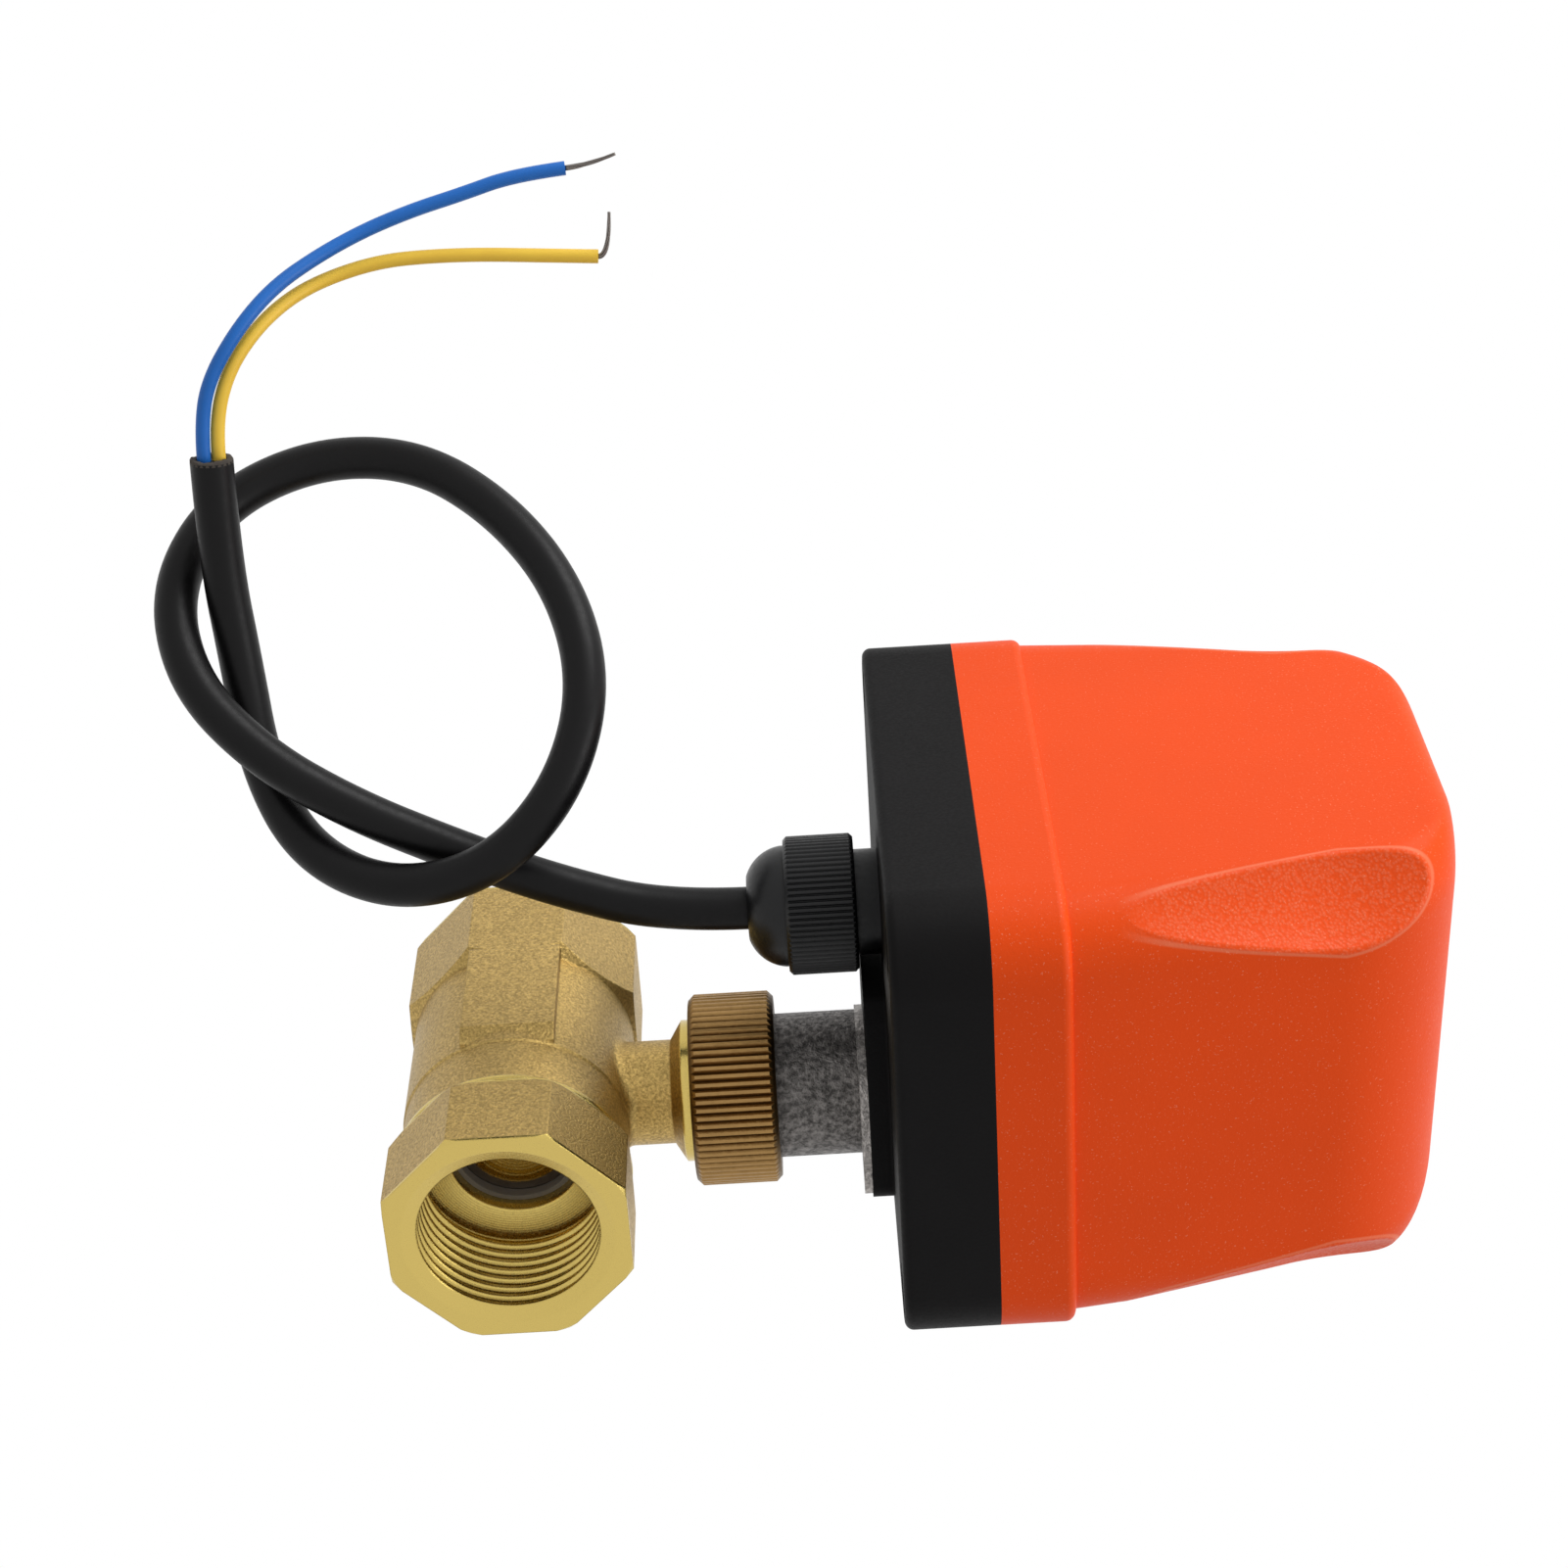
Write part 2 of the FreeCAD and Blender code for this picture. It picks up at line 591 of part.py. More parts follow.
def make_adapter_neck():
    neck_low = HEAD_TOP + NECK_GAP
    flange_top = FLANGE_LOW + FLANGE_THICK + FLANGE_SHOWN - 1.1
    neck = rod(NECK_R, neck_low, flange_top)
    flange = neck_flange(0, FLANGE_LOW, flange_top)
    neck = neck.fuse([flange, rod(SPIGOT_R, flange_top - 1, SPIGOT_TOP)])
    for side in (-1, 1):
        y_range = sorted((side * LUG_INNER_R, side * LUG_OUTER_R))
        neck = neck.fuse(block((-LUG_WIDTH / 2, LUG_WIDTH / 2), y_range,
                               (HEAD_TOP - LUG_DEPTH, neck_low + 1)))
    groove = ring(CLIP_GROOVE_R, NECK_R + 1, CLIP_Z - FIT, CLIP_Z + CLIP_THICK + FIT)
    neck = neck.cut(groove)
    neck = neck.cut(rod(NECK_BORE_R, HEAD_TOP - LUG_DEPTH - 1, SPIGOT_TOP + 1))
    for x, y in neck_screw_places():
        neck = neck.cut(rod(1.5, FLANGE_LOW + FLANGE_SHOWN - 0.2, flange_top + 1, x, y))
    return neck


def make_neck_screws():
    floor_top = BASE_LOW + FLOOR
    low = FLANGE_LOW + FLANGE_SHOWN
    screws = []
    for x, y in neck_screw_places():
        shank = rod(1.5 - FIT, low, floor_top + 0.5, x, y)
        head = rod(2.7, floor_top, floor_top + 2.0, x, y).cut(
            hexagon(2.6, floor_top + 0.9, floor_top + 3, x, y))
        screws.append(shank.fuse(head))
    return Part.Compound(screws)


def shaft_flat(low, high):
    return block((SHAFT_FLAT, SHAFT_R + 1), (-SHAFT_R - 1, SHAFT_R + 1), (low, high))


def make_drive_shaft():
    low = HEAD_TOP + NECK_GAP + 0.1
    socket_top = BUSH_LOW_Z - 0.2
    shaft = rod(SOCKET_R, low, socket_top)
    shaft = shaft.fuse(rod(SHAFT_R, socket_top - 1, OUTPUT_Z + OUTPUT_THICK + 0.2))
    shaft = shaft.fuse(rod(SHAFT_END_R, OUTPUT_Z, UPPER_PLATE_Z + PLATE_THICK - 0.1))
    half = STEM_SQUARE / 2 + RUNNING
    square_top = HEAD_TOP + STEM_SQUARE_HEIGHT + 0.4
    shaft = shaft.cut(block((-half, half), (-half, half), (low - 1, square_top)))
    return shaft.cut(shaft_flat(CAM_Z, OUTPUT_Z + OUTPUT_THICK + 1))


def make_shaft_bushes():
    lows = (BUSH_LOW_Z, SPIGOT_TOP - BUSH_LENGTH)
    bushes = [ring(SHAFT_R + RUNNING, NECK_BORE_R - FIT, z, z + BUSH_LENGTH) for z in lows]
    return Part.Compound(bushes)


# Housing


def cover_screw_places():
    x = HOUSING_HALF_X - SCREW_INSET_X
    rows = (HOUSING_LOW_Y + SCREW_INSET_Y, HOUSING_HIGH_Y - SCREW_INSET_Y)
    return [(sx * x, y) for sx in (-1, 1) for y in rows]


def housing_block(inset, low, high, corner=HOUSING_CORNER):
    y_range = (HOUSING_LOW_Y + inset, HOUSING_HIGH_Y - inset)
    return rounded_block(HOUSING_HALF_X - inset, y_range, corner - min(inset, corner - 1), (low, high))


def post_places():
    return [(sx * POST_X, y) for sx in (-1, 1) for y in POST_Y]


def make_base_housing():
    outer = housing_block(0, BASE_LOW, BASE_TOP)
    low_edges = [e for e in outer.Edges if e.BoundBox.ZMax < BASE_LOW + 0.01]
    outer = outer.makeFillet(BASE_EDGE, low_edges)
    floor_top = BASE_LOW + FLOOR
    base = outer.cut(housing_block(WALL, floor_top, BASE_TOP + 1))
    bosses = [rod(SCREW_BOSS_R, floor_top - 1, BASE_TOP, x, y) for x, y in cover_screw_places()]
    base = base.fuse([boss.common(outer) for boss in bosses])
    posts = [rod(FLOOR_BOSS_R, floor_top - 1, LOWER_PLATE_Z, x, y) for x, y in post_places()]
    pad = rounded_block(PAD_HALF_X, PAD_Y, PAD_CORNER, (PAD_LOW, BASE_LOW + 1))
    base = base.fuse(posts + [pad])
    flange_top = FLANGE_LOW + FLANGE_THICK
    recess = neck_flange(FIT, PAD_LOW - 1, flange_top).fuse(
        rod(NECK_R + FIT, PAD_LOW - 1, flange_top))
    base = base.cut([recess, rod(SPIGOT_R + FIT, PAD_LOW - 1, floor_top + 1)])
    base = base.cut(rod(GLAND_NECK_R + FIT, PAD_LOW - 1, floor_top + 1, 0, GLAND_Y))
    holes = [rod(1.6, flange_top - 1, floor_top + 1, x, y) for x, y in neck_screw_places()]
    holes += [rod(POST_TAIL_R + FIT, floor_top + 0.6, LOWER_PLATE_Z + 1, x, y)
              for x, y in post_places()]
    for x, y in cover_screw_places():
        holes.append(rod(SCREW_HEAD_R + 0.3, BASE_LOW - 1, BASE_LOW + SCREW_RECESS, x, y))
        holes.append(rod(SCREW_R + 0.15, BASE_LOW, BASE_TOP + 1, x, y))
    base = base.cut(holes)
    return base.cut(gasket_ring(FIT))


def gasket_ring(clearance):
    low = BASE_TOP - GASKET_THICK
    outer = housing_block(GASKET_INSET - clearance, low, BASE_TOP)
    inner = housing_block(GASKET_INSET + GASKET_WIDTH + clearance, low - 1, BASE_TOP + 1)
    return outer.cut(inner)


def cover_share(z):
    return (z - LIP_TOP) / (COVER_END - LIP_TOP)


def drafted_side(side, draft, arc_r, end, z):
    """Reach of a drafted side that an arc carries over into the cover's end."""
    slope = draft / (COVER_END - LIP_TOP)
    angle = math.atan(slope)
    arc_start = end - arc_r + arc_r * math.sin(angle)
    if z <= arc_start:
        return side - slope * (z - LIP_TOP)
    centre = side - slope * (arc_start - LIP_TOP) - arc_r * math.cos(angle)
    drop = min(z - (end - arc_r), arc_r)
    return centre + math.sqrt(arc_r ** 2 - drop ** 2)


def cover_section(z, wall):
    """Outline of the cover's skin at one level, moved inwards by a wall."""
    end = COVER_END - wall
    half_x = drafted_side(HOUSING_HALF_X - COVER_INSET_X - wall, DRAFT_X, SHOULDER_R - wall, end, z)
    high_y = drafted_side(HOUSING_HIGH_Y - COVER_INSET_HIGH_Y - wall, DRAFT_HIGH_Y,
                          max(END_EDGE_HIGH_Y - wall, FIT), end, z)
    low_y = -drafted_side(-HOUSING_LOW_Y - COVER_INSET_LOW_Y - wall, DRAFT_LOW_Y,
                          END_EDGE_LOW_Y - wall, end, z)
    corner = COVER_CORNER + (END_CORNER - COVER_CORNER) * cover_share(z) - wall
    return rounded_outline(half_x, low_y, high_y, corner, z, END_LEAN * cover_share(z))


def cover_body(wall, low):
    """Drafted body with shoulders, as a smooth skin through its sections."""
    end = COVER_END - wall
    shoulder_r = SHOULDER_R - wall
    start = end - shoulder_r
    levels = [low + (start - low) * step / SIDE_STEPS for step in range(SIDE_STEPS)]
    levels += [start + shoulder_r * math.sin(math.pi / 2 * step / SHOULDER_STEPS)
               for step in range(SHOULDER_STEPS + 1)]
    return Part.makeLoft([cover_section(z, wall) for z in levels], True, False)


def scallop_tool(side_x, y_corner, side_y, grow):
    """Turned body whose skin cuts one thumb grip, a drop shape, into a corner."""
    taper = math.radians(SCALLOP_TAPER)
    full_r = SCALLOP_R + grow
    blend_centre = full_r - SCALLOP_BLEND_R
    blend = [Vector(blend_centre + SCALLOP_BLEND_R * math.cos(taper * share), 0,
                    SCALLOP_FULL_Z - SCALLOP_BLEND_R * math.sin(taper * share)) for share in (1, 0.5, 0)]
    low_r = blend[0].x - (blend[0].z - SCALLOP_LOW_Z) * math.tan(taper)
    top = COVER_END + 5
    corners = [Vector(full_r, 0, SCALLOP_FULL_Z), Vector(full_r, 0, top), Vector(0, 0, top),
               Vector(0, 0, SCALLOP_LOW_Z), Vector(low_r, 0, SCALLOP_LOW_Z), blend[0]]
    edges = [Part.makeLine(a, b) for a, b in zip(corners, corners[1:])]
    edges.append(Part.Arc(*blend).toShape())
    tool = Part.Face(Part.Wire(edges)).revolve(Vector(0, 0, 0), Vector(0, 0, 1), 360)
    half_x = HOUSING_HALF_X - COVER_INSET_X - DRAFT_X * cover_share(SCALLOP_MIDDLE_Z)
    tool.translate(at(side_x * (half_x + SCALLOP_OUT), y_corner + side_y * SCALLOP_OUT, 0))
    return tool


def scallop_tools(grow=0.0):
    share = cover_share(SCALLOP_START_Z)
    low_y = HOUSING_LOW_Y + COVER_INSET_LOW_Y + DRAFT_LOW_Y * share
    high_y = HOUSING_HIGH_Y - COVER_INSET_HIGH_Y - DRAFT_HIGH_Y * share
    return [scallop_tool(side_x, y, side_y, grow)
            for side_x in (-1, 1) for y, side_y in ((low_y, -1), (high_y, 1))]


def make_cover():
    body = cover_body(0, LIP_TOP - 1).cut(scallop_tools())
    grips = [face for face in body.Faces if isinstance(
        face.Surface, (Part.Cone, Part.Toroid, Part.Cylinder, Part.SurfaceOfRevolution))]
    skin = [face for face in body.Faces if not any(face.isSame(grip) for grip in grips)]
    rims = [edge for grip in grips for edge in grip.Edges
            if any(edge.isSame(other) for face in skin for other in face.Edges)]
    body = body.makeFillet(SCALLOP_RIM, rims)
    lip = housing_block(0, BASE_TOP, LIP_TOP)
    lip_edges = [e for e in lip.Edges if e.BoundBox.ZMin > LIP_TOP - 0.01]
    lip = lip.makeFillet(LIP_EDGE, lip_edges)
    outer = body.fuse(lip)
    space = cover_body(WALL, LIP_TOP - 4).cut(scallop_tools(WALL))
    space = space.fuse(housing_block(WALL, BASE_TOP - 1, LIP_TOP - 2))
    boss_top = BASE_TOP + BOSS_RISE
    for x, y in cover_screw_places():
        space = space.cut(rod(SCREW_BOSS_R, BASE_TOP - 2, boss_top, x, y))
    cover = outer.cut(space)
    holes = [rod(SCREW_R + FIT, BASE_TOP - 1, boss_top - 2, x, y)
             for x, y in cover_screw_places()]
    return cover.cut(holes)


def make_cover_screws():
    screws = []
    seat = BASE_LOW + SCREW_RECESS
    for x, y in cover_screw_places():
        shank = rod(SCREW_R, seat - 0.5, BASE_TOP + BOSS_RISE - 3, x, y)
        head = rod(SCREW_HEAD_R, seat - SCREW_HEAD_THICK, seat, x, y)
        low = seat - SCREW_HEAD_THICK
        for turn in (0, 90):
            slot = block((-2.2, 2.2), (-0.45, 0.45), (low - 1, low + 1.3))
            slot.rotate(at(0, 0, 0), Vector(0, 0, 1), turn)
            slot.translate(Vector(x, y, 0))
            head = head.cut(slot)
        screws.append(shank.fuse(head))
    return Part.Compound(screws)


# Gear train


def along(start, angle, distance):
    a = math.radians(angle)
    return (start[0] + distance * math.cos(a), start[1] + distance * math.sin(a))


OUTPUT_PLACE = (0.0, 0.0)
SLOW_DISTANCE = OUTPUT_MODULE * (OUTPUT_TEETH + PINION_TEETH) / 2
FAST_DISTANCE = WHEEL_MODULE * (SLOW_WHEEL_TEETH + PINION_TEETH) / 2
MOTOR_DISTANCE = WHEEL_MODULE * (FAST_WHEEL_TEETH + MOTOR_PINION_TEETH) / 2
SLOW_PLACE = along(OUTPUT_PLACE, SLOW_ANGLE, SLOW_DISTANCE)
FAST_PLACE = along(SLOW_PLACE, FAST_ANGLE, FAST_DISTANCE)
MOTOR_PLACE = along(FAST_PLACE, MOTOR_ANGLE, MOTOR_DISTANCE)


def meshing_phase(phase, teeth, mate_teeth, direction):
    """Angle of one tooth of the mate that puts its gap on the driver's tooth."""
    pitch = 360 / teeth
    share = ((direction - phase) % pitch) / pitch
    return direction + 180 + (share - 0.5) * 360 / mate_teeth


def gear(place, teeth, module, phase, low, high):
    """Straight-cut gear with involute flanks, slightly thin for backlash."""
    pitch_r = module * teeth / 2
    base_r = pitch_r * math.cos(math.radians(20))
    tip_r = pitch_r + 0.85 * module
    root_r = pitch_r - 1.2 * module
    half_tooth = math.pi / 2 / teeth - 0.09 * module / pitch_r
    pressure = math.radians(20)
    half_base = half_tooth + math.tan(pressure) - pressure
    flank = []
    start_r = max(base_r, root_r)
    for step in range(5):
        radius = start_r + (tip_r - start_r) * step / 4
        roll = math.acos(min(1.0, base_r / radius))
        flank.append((radius, half_base - (math.tan(roll) - roll)))
    if root_r < base_r:
        flank.insert(0, (root_r, half_base))
    points = []
    for tooth in range(teeth):
        centre = math.radians(phase) + 2 * math.pi * tooth / teeth
        sides = [(r, centre - a) for r, a in flank] + [(r, centre + a) for r, a in reversed(flank)]
        points += [(STEM_X + place[0] + r * math.cos(a), place[1] + r * math.sin(a))
                   for r, a in sides]
    return polygon_prism(points, low, high)


OUTPUT_PHASE = 0.0
SLOW_PINION_PHASE = meshing_phase(OUTPUT_PHASE, OUTPUT_TEETH, PINION_TEETH, SLOW_ANGLE)
FAST_PINION_PHASE = meshing_phase(0.0, SLOW_WHEEL_TEETH, PINION_TEETH, FAST_ANGLE)
MOTOR_PINION_PHASE = meshing_phase(0.0, FAST_WHEEL_TEETH, MOTOR_PINION_TEETH, MOTOR_ANGLE)


def shaft_hole(low, high):
    return rod(SHAFT_R + FIT, low - 1, high + 1).cut(
        block((SHAFT_FLAT + FIT, SHAFT_R + 1), (-SHAFT_R - 1, SHAFT_R + 1), (low - 2, high + 2)))


def make_output_gear():
    high = OUTPUT_Z + OUTPUT_THICK
    wheel = gear(OUTPUT_PLACE, OUTPUT_TEETH, OUTPUT_MODULE, OUTPUT_PHASE, OUTPUT_Z, high)
    return wheel.cut(shaft_hole(OUTPUT_Z, high))


def make_slow_gear():
    x, y = SLOW_PLACE
    wheel_top = SECOND_Z + WHEEL_THICK
    pinion = gear(SLOW_PLACE, PINION_TEETH, OUTPUT_MODULE, SLOW_PINION_PHASE, OUTPUT_Z, SECOND_Z + 0.5)
    wheel = gear(SLOW_PLACE, SLOW_WHEEL_TEETH, WHEEL_MODULE, 0.0, SECOND_Z, wheel_top)
    hub = rod(HUB_R, wheel_top - 0.5, UPPER_PLATE_Z - 0.2, x, y)
    whole = pinion.fuse([wheel, hub])
    return whole.cut(rod(PIN_R + RUNNING, OUTPUT_Z - 1, UPPER_PLATE_Z, x, y))


def make_fast_gear():
    x, y = FAST_PLACE
    wheel_top = THIRD_Z + WHEEL_THICK
    pinion = gear(FAST_PLACE, PINION_TEETH, WHEEL_MODULE, FAST_PINION_PHASE, SECOND_Z, THIRD_Z + 0.5)
    wheel = gear(FAST_PLACE, FAST_WHEEL_TEETH, WHEEL_MODULE, 0.0, THIRD_Z, wheel_top)
    hub = rod(HUB_R, wheel_top - 0.5, UPPER_PLATE_Z - 0.2, x, y)
    whole = pinion.fuse([wheel, hub])
    return whole.cut(rod(PIN_R + RUNNING, SECOND_Z - 1, UPPER_PLATE_Z, x, y))


def make_gear_pins():
    low = LOWER_PLATE_Z + FIT
    top = UPPER_PLATE_Z + PLATE_THICK
    shoulder_low = LOWER_PLATE_Z + PLATE_THICK
    pins = []
    for (x, y), shoulder_top in ((SLOW_PLACE, OUTPUT_Z - 0.2), (FAST_PLACE, SECOND_Z - 0.2)):
        shoulder = rod(PIN_SHOULDER_R, shoulder_low, shoulder_top, x, y)
        pins.append(rod(PIN_R, low, top, x, y).fuse(shoulder))
    return Part.Compound(pins)


def gear_plate(z):
    plate = rounded_block(PLATE_HALF_X, PLATE_Y, PLATE_CORNER, (z, z + PLATE_THICK))
    holes = [rod(PIN_R + FIT, z - 1, z + 3, x, y) for x, y in (SLOW_PLACE, FAST_PLACE)]
    holes += [rod(POST_TAIL_R + FIT, z - 1, z + 3, x, y) for x, y in post_places()]
    holes += [rod(SCREW_BOSS_R + 0.4, z - 1, z + 3, x, y) for x, y in cover_screw_places()]
    return plate.cut(holes)


def make_lower_plate():
    z = LOWER_PLATE_Z
    plate = gear_plate(z)
    return plate.cut([rod(SHAFT_R + 0.3, z - 1, z + 3), rod(10.5, z - 1, z + 3, 0, GLAND_Y)])


def motor_ear_places():
    x, y = MOTOR_PLACE
    return [(x + side * MOTOR_EAR, y) for side in (-1, 1)]


def make_upper_plate():
    z = UPPER_PLATE_Z
    holes = [rod(SHAFT_END_R + RUNNING, z - 1, z + 3),
             rod(4.05, z - 1, z + 3, *MOTOR_PLACE)]
    holes += [rod(1.2, z - 1, z + 3, x, y) for x, y in motor_ear_places()]
    return gear_plate(z).cut(holes)


def make_plate_posts():
    low = LOWER_PLATE_Z + PLATE_THICK
    posts = []
    for x, y in post_places():
        post = rod(POST_R, low, UPPER_PLATE_Z, x, y)
        post = post.fuse(rod(POST_TAIL_R, BASE_LOW + FLOOR + 1, low + 1, x, y))
        posts.append(post.cut(rod(POST_TAIL_R + FIT, UPPER_PLATE_Z - 6, UPPER_PLATE_Z + 1, x, y)))
    return Part.Compound(posts)


def make_board_posts():
    low = UPPER_PLATE_Z + PLATE_THICK
    posts = []
    for x, y in post_places():
        post = rod(POST_R, low, BOARD_Z, x, y)
        post = post.fuse(rod(POST_TAIL_R, UPPER_PLATE_Z - 5, low + 1, x, y))
        posts.append(post.cut(rod(1.3, BOARD_Z - 6, BOARD_Z + 1, x, y)))
    return Part.Compound(posts)


# Motor


def make_motor_body():
    low = UPPER_PLATE_Z + PLATE_THICK
    x, y = MOTOR_PLACE
    can = rod(MOTOR_R, low, low + MOTOR_HEIGHT, x, y)
    rim = [e for e in can.Edges if e.BoundBox.ZMin > low + MOTOR_HEIGHT - 0.01]
    can = can.makeFillet(1.5, rim)
    boss = rod(4.0, UPPER_PLATE_Z + 0.2, low + 1, x, y)
    ears = []
    for ex, ey in motor_ear_places():
        ear = block((min(x, ex), max(x, ex)), (ey - 3, ey + 3), (low, low + 1))
        ears.append(ear.fuse(rod(3.0, low, low + 1, ex, ey)))
    motor = can.fuse([boss] + ears)
    motor = motor.cut([rod(1.3, low - 1, low + 2, ex, ey) for ex, ey in motor_ear_places()])
    return motor.cut(rod(MOTOR_SHAFT_R + RUNNING, UPPER_PLATE_Z - 1, low + 8, x, y))


def make_motor_screws():
    low = UPPER_PLATE_Z + 0.1
    top = UPPER_PLATE_Z + PLATE_THICK + 1
    screws = []
    for x, y in motor_ear_places():
        screws.append(rod(1.2 - FIT, low, top + 0.5, x, y).fuse(rod(2.2, top, top + 1.4, x, y)))
    return Part.Compound(screws)


def make_motor_pinion():
    x, y = MOTOR_PLACE
    top = THIRD_Z + WHEEL_THICK
    pinion = gear(MOTOR_PLACE, MOTOR_PINION_TEETH, WHEEL_MODULE, MOTOR_PINION_PHASE, THIRD_Z, top)
    return pinion.fuse(rod(MOTOR_SHAFT_R, THIRD_Z - 0.3, UPPER_PLATE_Z + PLATE_THICK + 7.8, x, y))


# Limit switches


def cam_radius(angle):
    """Outline of the cam: a high and a low dwell with a steady ramp on each side."""
    angle = angle % 360
    low_from = 90 + CAM_RAMP
    low_to = 360 - CAM_RAMP
    if angle <= 90:
        return CAM_LOW_R + CAM_RISE
    if angle <= low_from:
        return CAM_LOW_R + CAM_RISE * (low_from - angle) / CAM_RAMP
    if angle <= low_to:
        return CAM_LOW_R
    return CAM_LOW_R + CAM_RISE * (angle - low_to) / CAM_RAMP


def make_switch_cam():
    points = []
    for step in range(120):
        a = math.radians(step * 3)
        radius = cam_radius(step * 3)
        points.append((STEM_X + radius * math.cos(a), radius * math.sin(a)))
    cam = polygon_prism(points, CAM_Z, CAM_Z + CAM_THICK)
    cam = cam.fuse(rod(SHAFT_R + 1.2, CAM_Z + CAM_THICK - 0.5, OUTPUT_Z))
    return cam.cut(shaft_hole(CAM_Z, OUTPUT_Z))


PRESSED_X = CAM_LOW_R + CAM_RISE + LEVER_GAP
PIVOT_X = PRESSED_X + LEVER_LOOP_R
LEVER_TRAVEL = math.degrees(math.asin(CAM_RISE / LEVER_ARM))


def mirrored(shape, side):
    return shape if side > 0 else shape.mirror(at(0, 0, 0), Vector(1, 0, 0))


def make_switch(side):
    """Switch body with its plunger and the fork that carries the lever's pivot pin."""
    face = PRESSED_X + SWITCH_FACE
    depth, length, height = SWITCH_SIZE
    y_low = -LEVER_ARM - 0.5
    body = block((face, face + depth), (y_low, y_low + length), (SWITCH_Z, SWITCH_Z + height))
    plunger = Part.makeCylinder(0.7, SWITCH_FACE - LEVER_THICK - 0.05 + 1,
                                at(PRESSED_X + LEVER_THICK + 0.05, -3, CAM_Z + CAM_THICK / 2),
                                Vector(1, 0, 0))
    ears = []
    for low in (SWITCH_Z, SWITCH_Z + height - 0.8):
        ears.append(block((PIVOT_X - 0.9, face + 0.5), (y_low, y_low + 1.6), (low, low + 0.8)))
    pin = rod(0.5, SWITCH_Z, SWITCH_Z + height, PIVOT_X, -LEVER_ARM)
    legs = []
    for y in SWITCH_LEG_Y:
        legs.append(block((face + depth - 0.5, face + depth + SWITCH_LEG_REACH), (y - 1, y + 1),
                          (SWITCH_Z + SWITCH_LEG_Z, SWITCH_Z + SWITCH_LEG_Z + 0.6)))
    return mirrored(body.fuse([plunger, pin] + ears + legs), side)


def make_switch_lever(side):
    low = SWITCH_Z + 1.2
    high = low + LEVER_WIDTH
    strip = block((PRESSED_X, PRESSED_X + LEVER_THICK), (-LEVER_ARM, -LEVER_ARM + LEVER_REACH),
                  (low, high))
    loop = rod(LEVER_LOOP_R, low, high, PIVOT_X, -LEVER_ARM)
    lever = strip.fuse(loop).cut(rod(0.5 + RUNNING, low - 1, high + 1, PIVOT_X, -LEVER_ARM))
    lever = mirrored(lever, side)
    if side < 0:
        lever.rotate(at(-PIVOT_X, -LEVER_ARM, 0), Vector(0, 0, 1), -LEVER_TRAVEL)
    return lever


# Control board


def make_control_board():
    board = rounded_block(BOARD_HALF_X, BOARD_Y, BOARD_CORNER, (BOARD_Z, BOARD_Z + BOARD_THICK))
    return board.cut([rod(1.5, BOARD_Z - 1, BOARD_Z + 3, x, y) for x, y in post_places()])


def make_board_screws():
    top = BOARD_Z + BOARD_THICK
    screws = []
    for x, y in post_places():
        shank = rod(1.3 - FIT, BOARD_Z - 4, top + 0.5, x, y)
        screws.append(shank.fuse(rod(2.4, top, top + 1.6, x, y)))
    return Part.Compound(screws)


def make_storage_capacitors():
    z = BOARD_Z + BOARD_THICK + CAPACITOR_R
    cans = []
    for x in (-CAPACITOR_SPACING, 0.0):
        start = at(x, CAPACITOR_Y, z)
        can = Part.makeCylinder(CAPACITOR_R, CAPACITOR_LENGTH, start, Vector(0, 1, 0))
        cans.append(can.makeFillet(1.0, [e for e in can.Edges if e.Curve.TypeId == "Part::GeomCircle"]))
    return Part.Compound(cans)


def board_block(place, size):
    top = BOARD_Z + BOARD_THICK
    (x, y), (along_x, along_y, height) = place, size
    return block((x, x + along_x), (y, y + along_y), (top, top + height))


def make_relay():
    return board_block(RELAY_PLACE, RELAY_SIZE)


def make_terminal_block():
    body = board_block(TERMINAL_PLACE, TERMINAL_SIZE)
    x = TERMINAL_PLACE[0] + TERMINAL_SIZE[0] / 2
    top = BOARD_Z + BOARD_THICK + TERMINAL_SIZE[2]
    for y in TERMINAL_POLES_Y:
        body = body.cut(Part.makeCylinder(1.3, TERMINAL_SIZE[0], at(x - 1, y, top - 6), Vector(1, 0, 0)))
        body = body.cut(rod(TERMINAL_SCREW_R, top - 3, top + 1, x, y))
    return body


def make_board_diodes():
    radius, length = DIODE_SIZE
    z = BOARD_Z + BOARD_THICK + radius
    bodies = [Part.makeCylinder(radius, length, at(DIODE_X, CAPACITOR_Y + DIODE_SPACING * i, z),
                                Vector(1, 0, 0)) for i in range(4)]
    return Part.Compound(bodies)


def make_inner_leads():
    x_end = TERMINAL_PLACE[0] + TERMINAL_SIZE[0] / 2
    leads = []
    for x, y_end, level in zip((-1.2, 1.2), reversed(TERMINAL_POLES_Y), LEAD_LEVELS):
        z_turn = BASE_TOP + 1 + level
        route = [(x, GLAND_Y, GLAND_TOP + 1.0), (x, GLAND_Y, z_turn), (LEAD_X, y_end, z_turn),
                 (LEAD_X, y_end, LEAD_TURN_Z), (x_end, y_end, LEAD_TURN_Z), (x_end, y_end, BOARD_Z)]
        leads.append(tube_along(route, WIRE_R, radius=2.2)[0])
    return leads


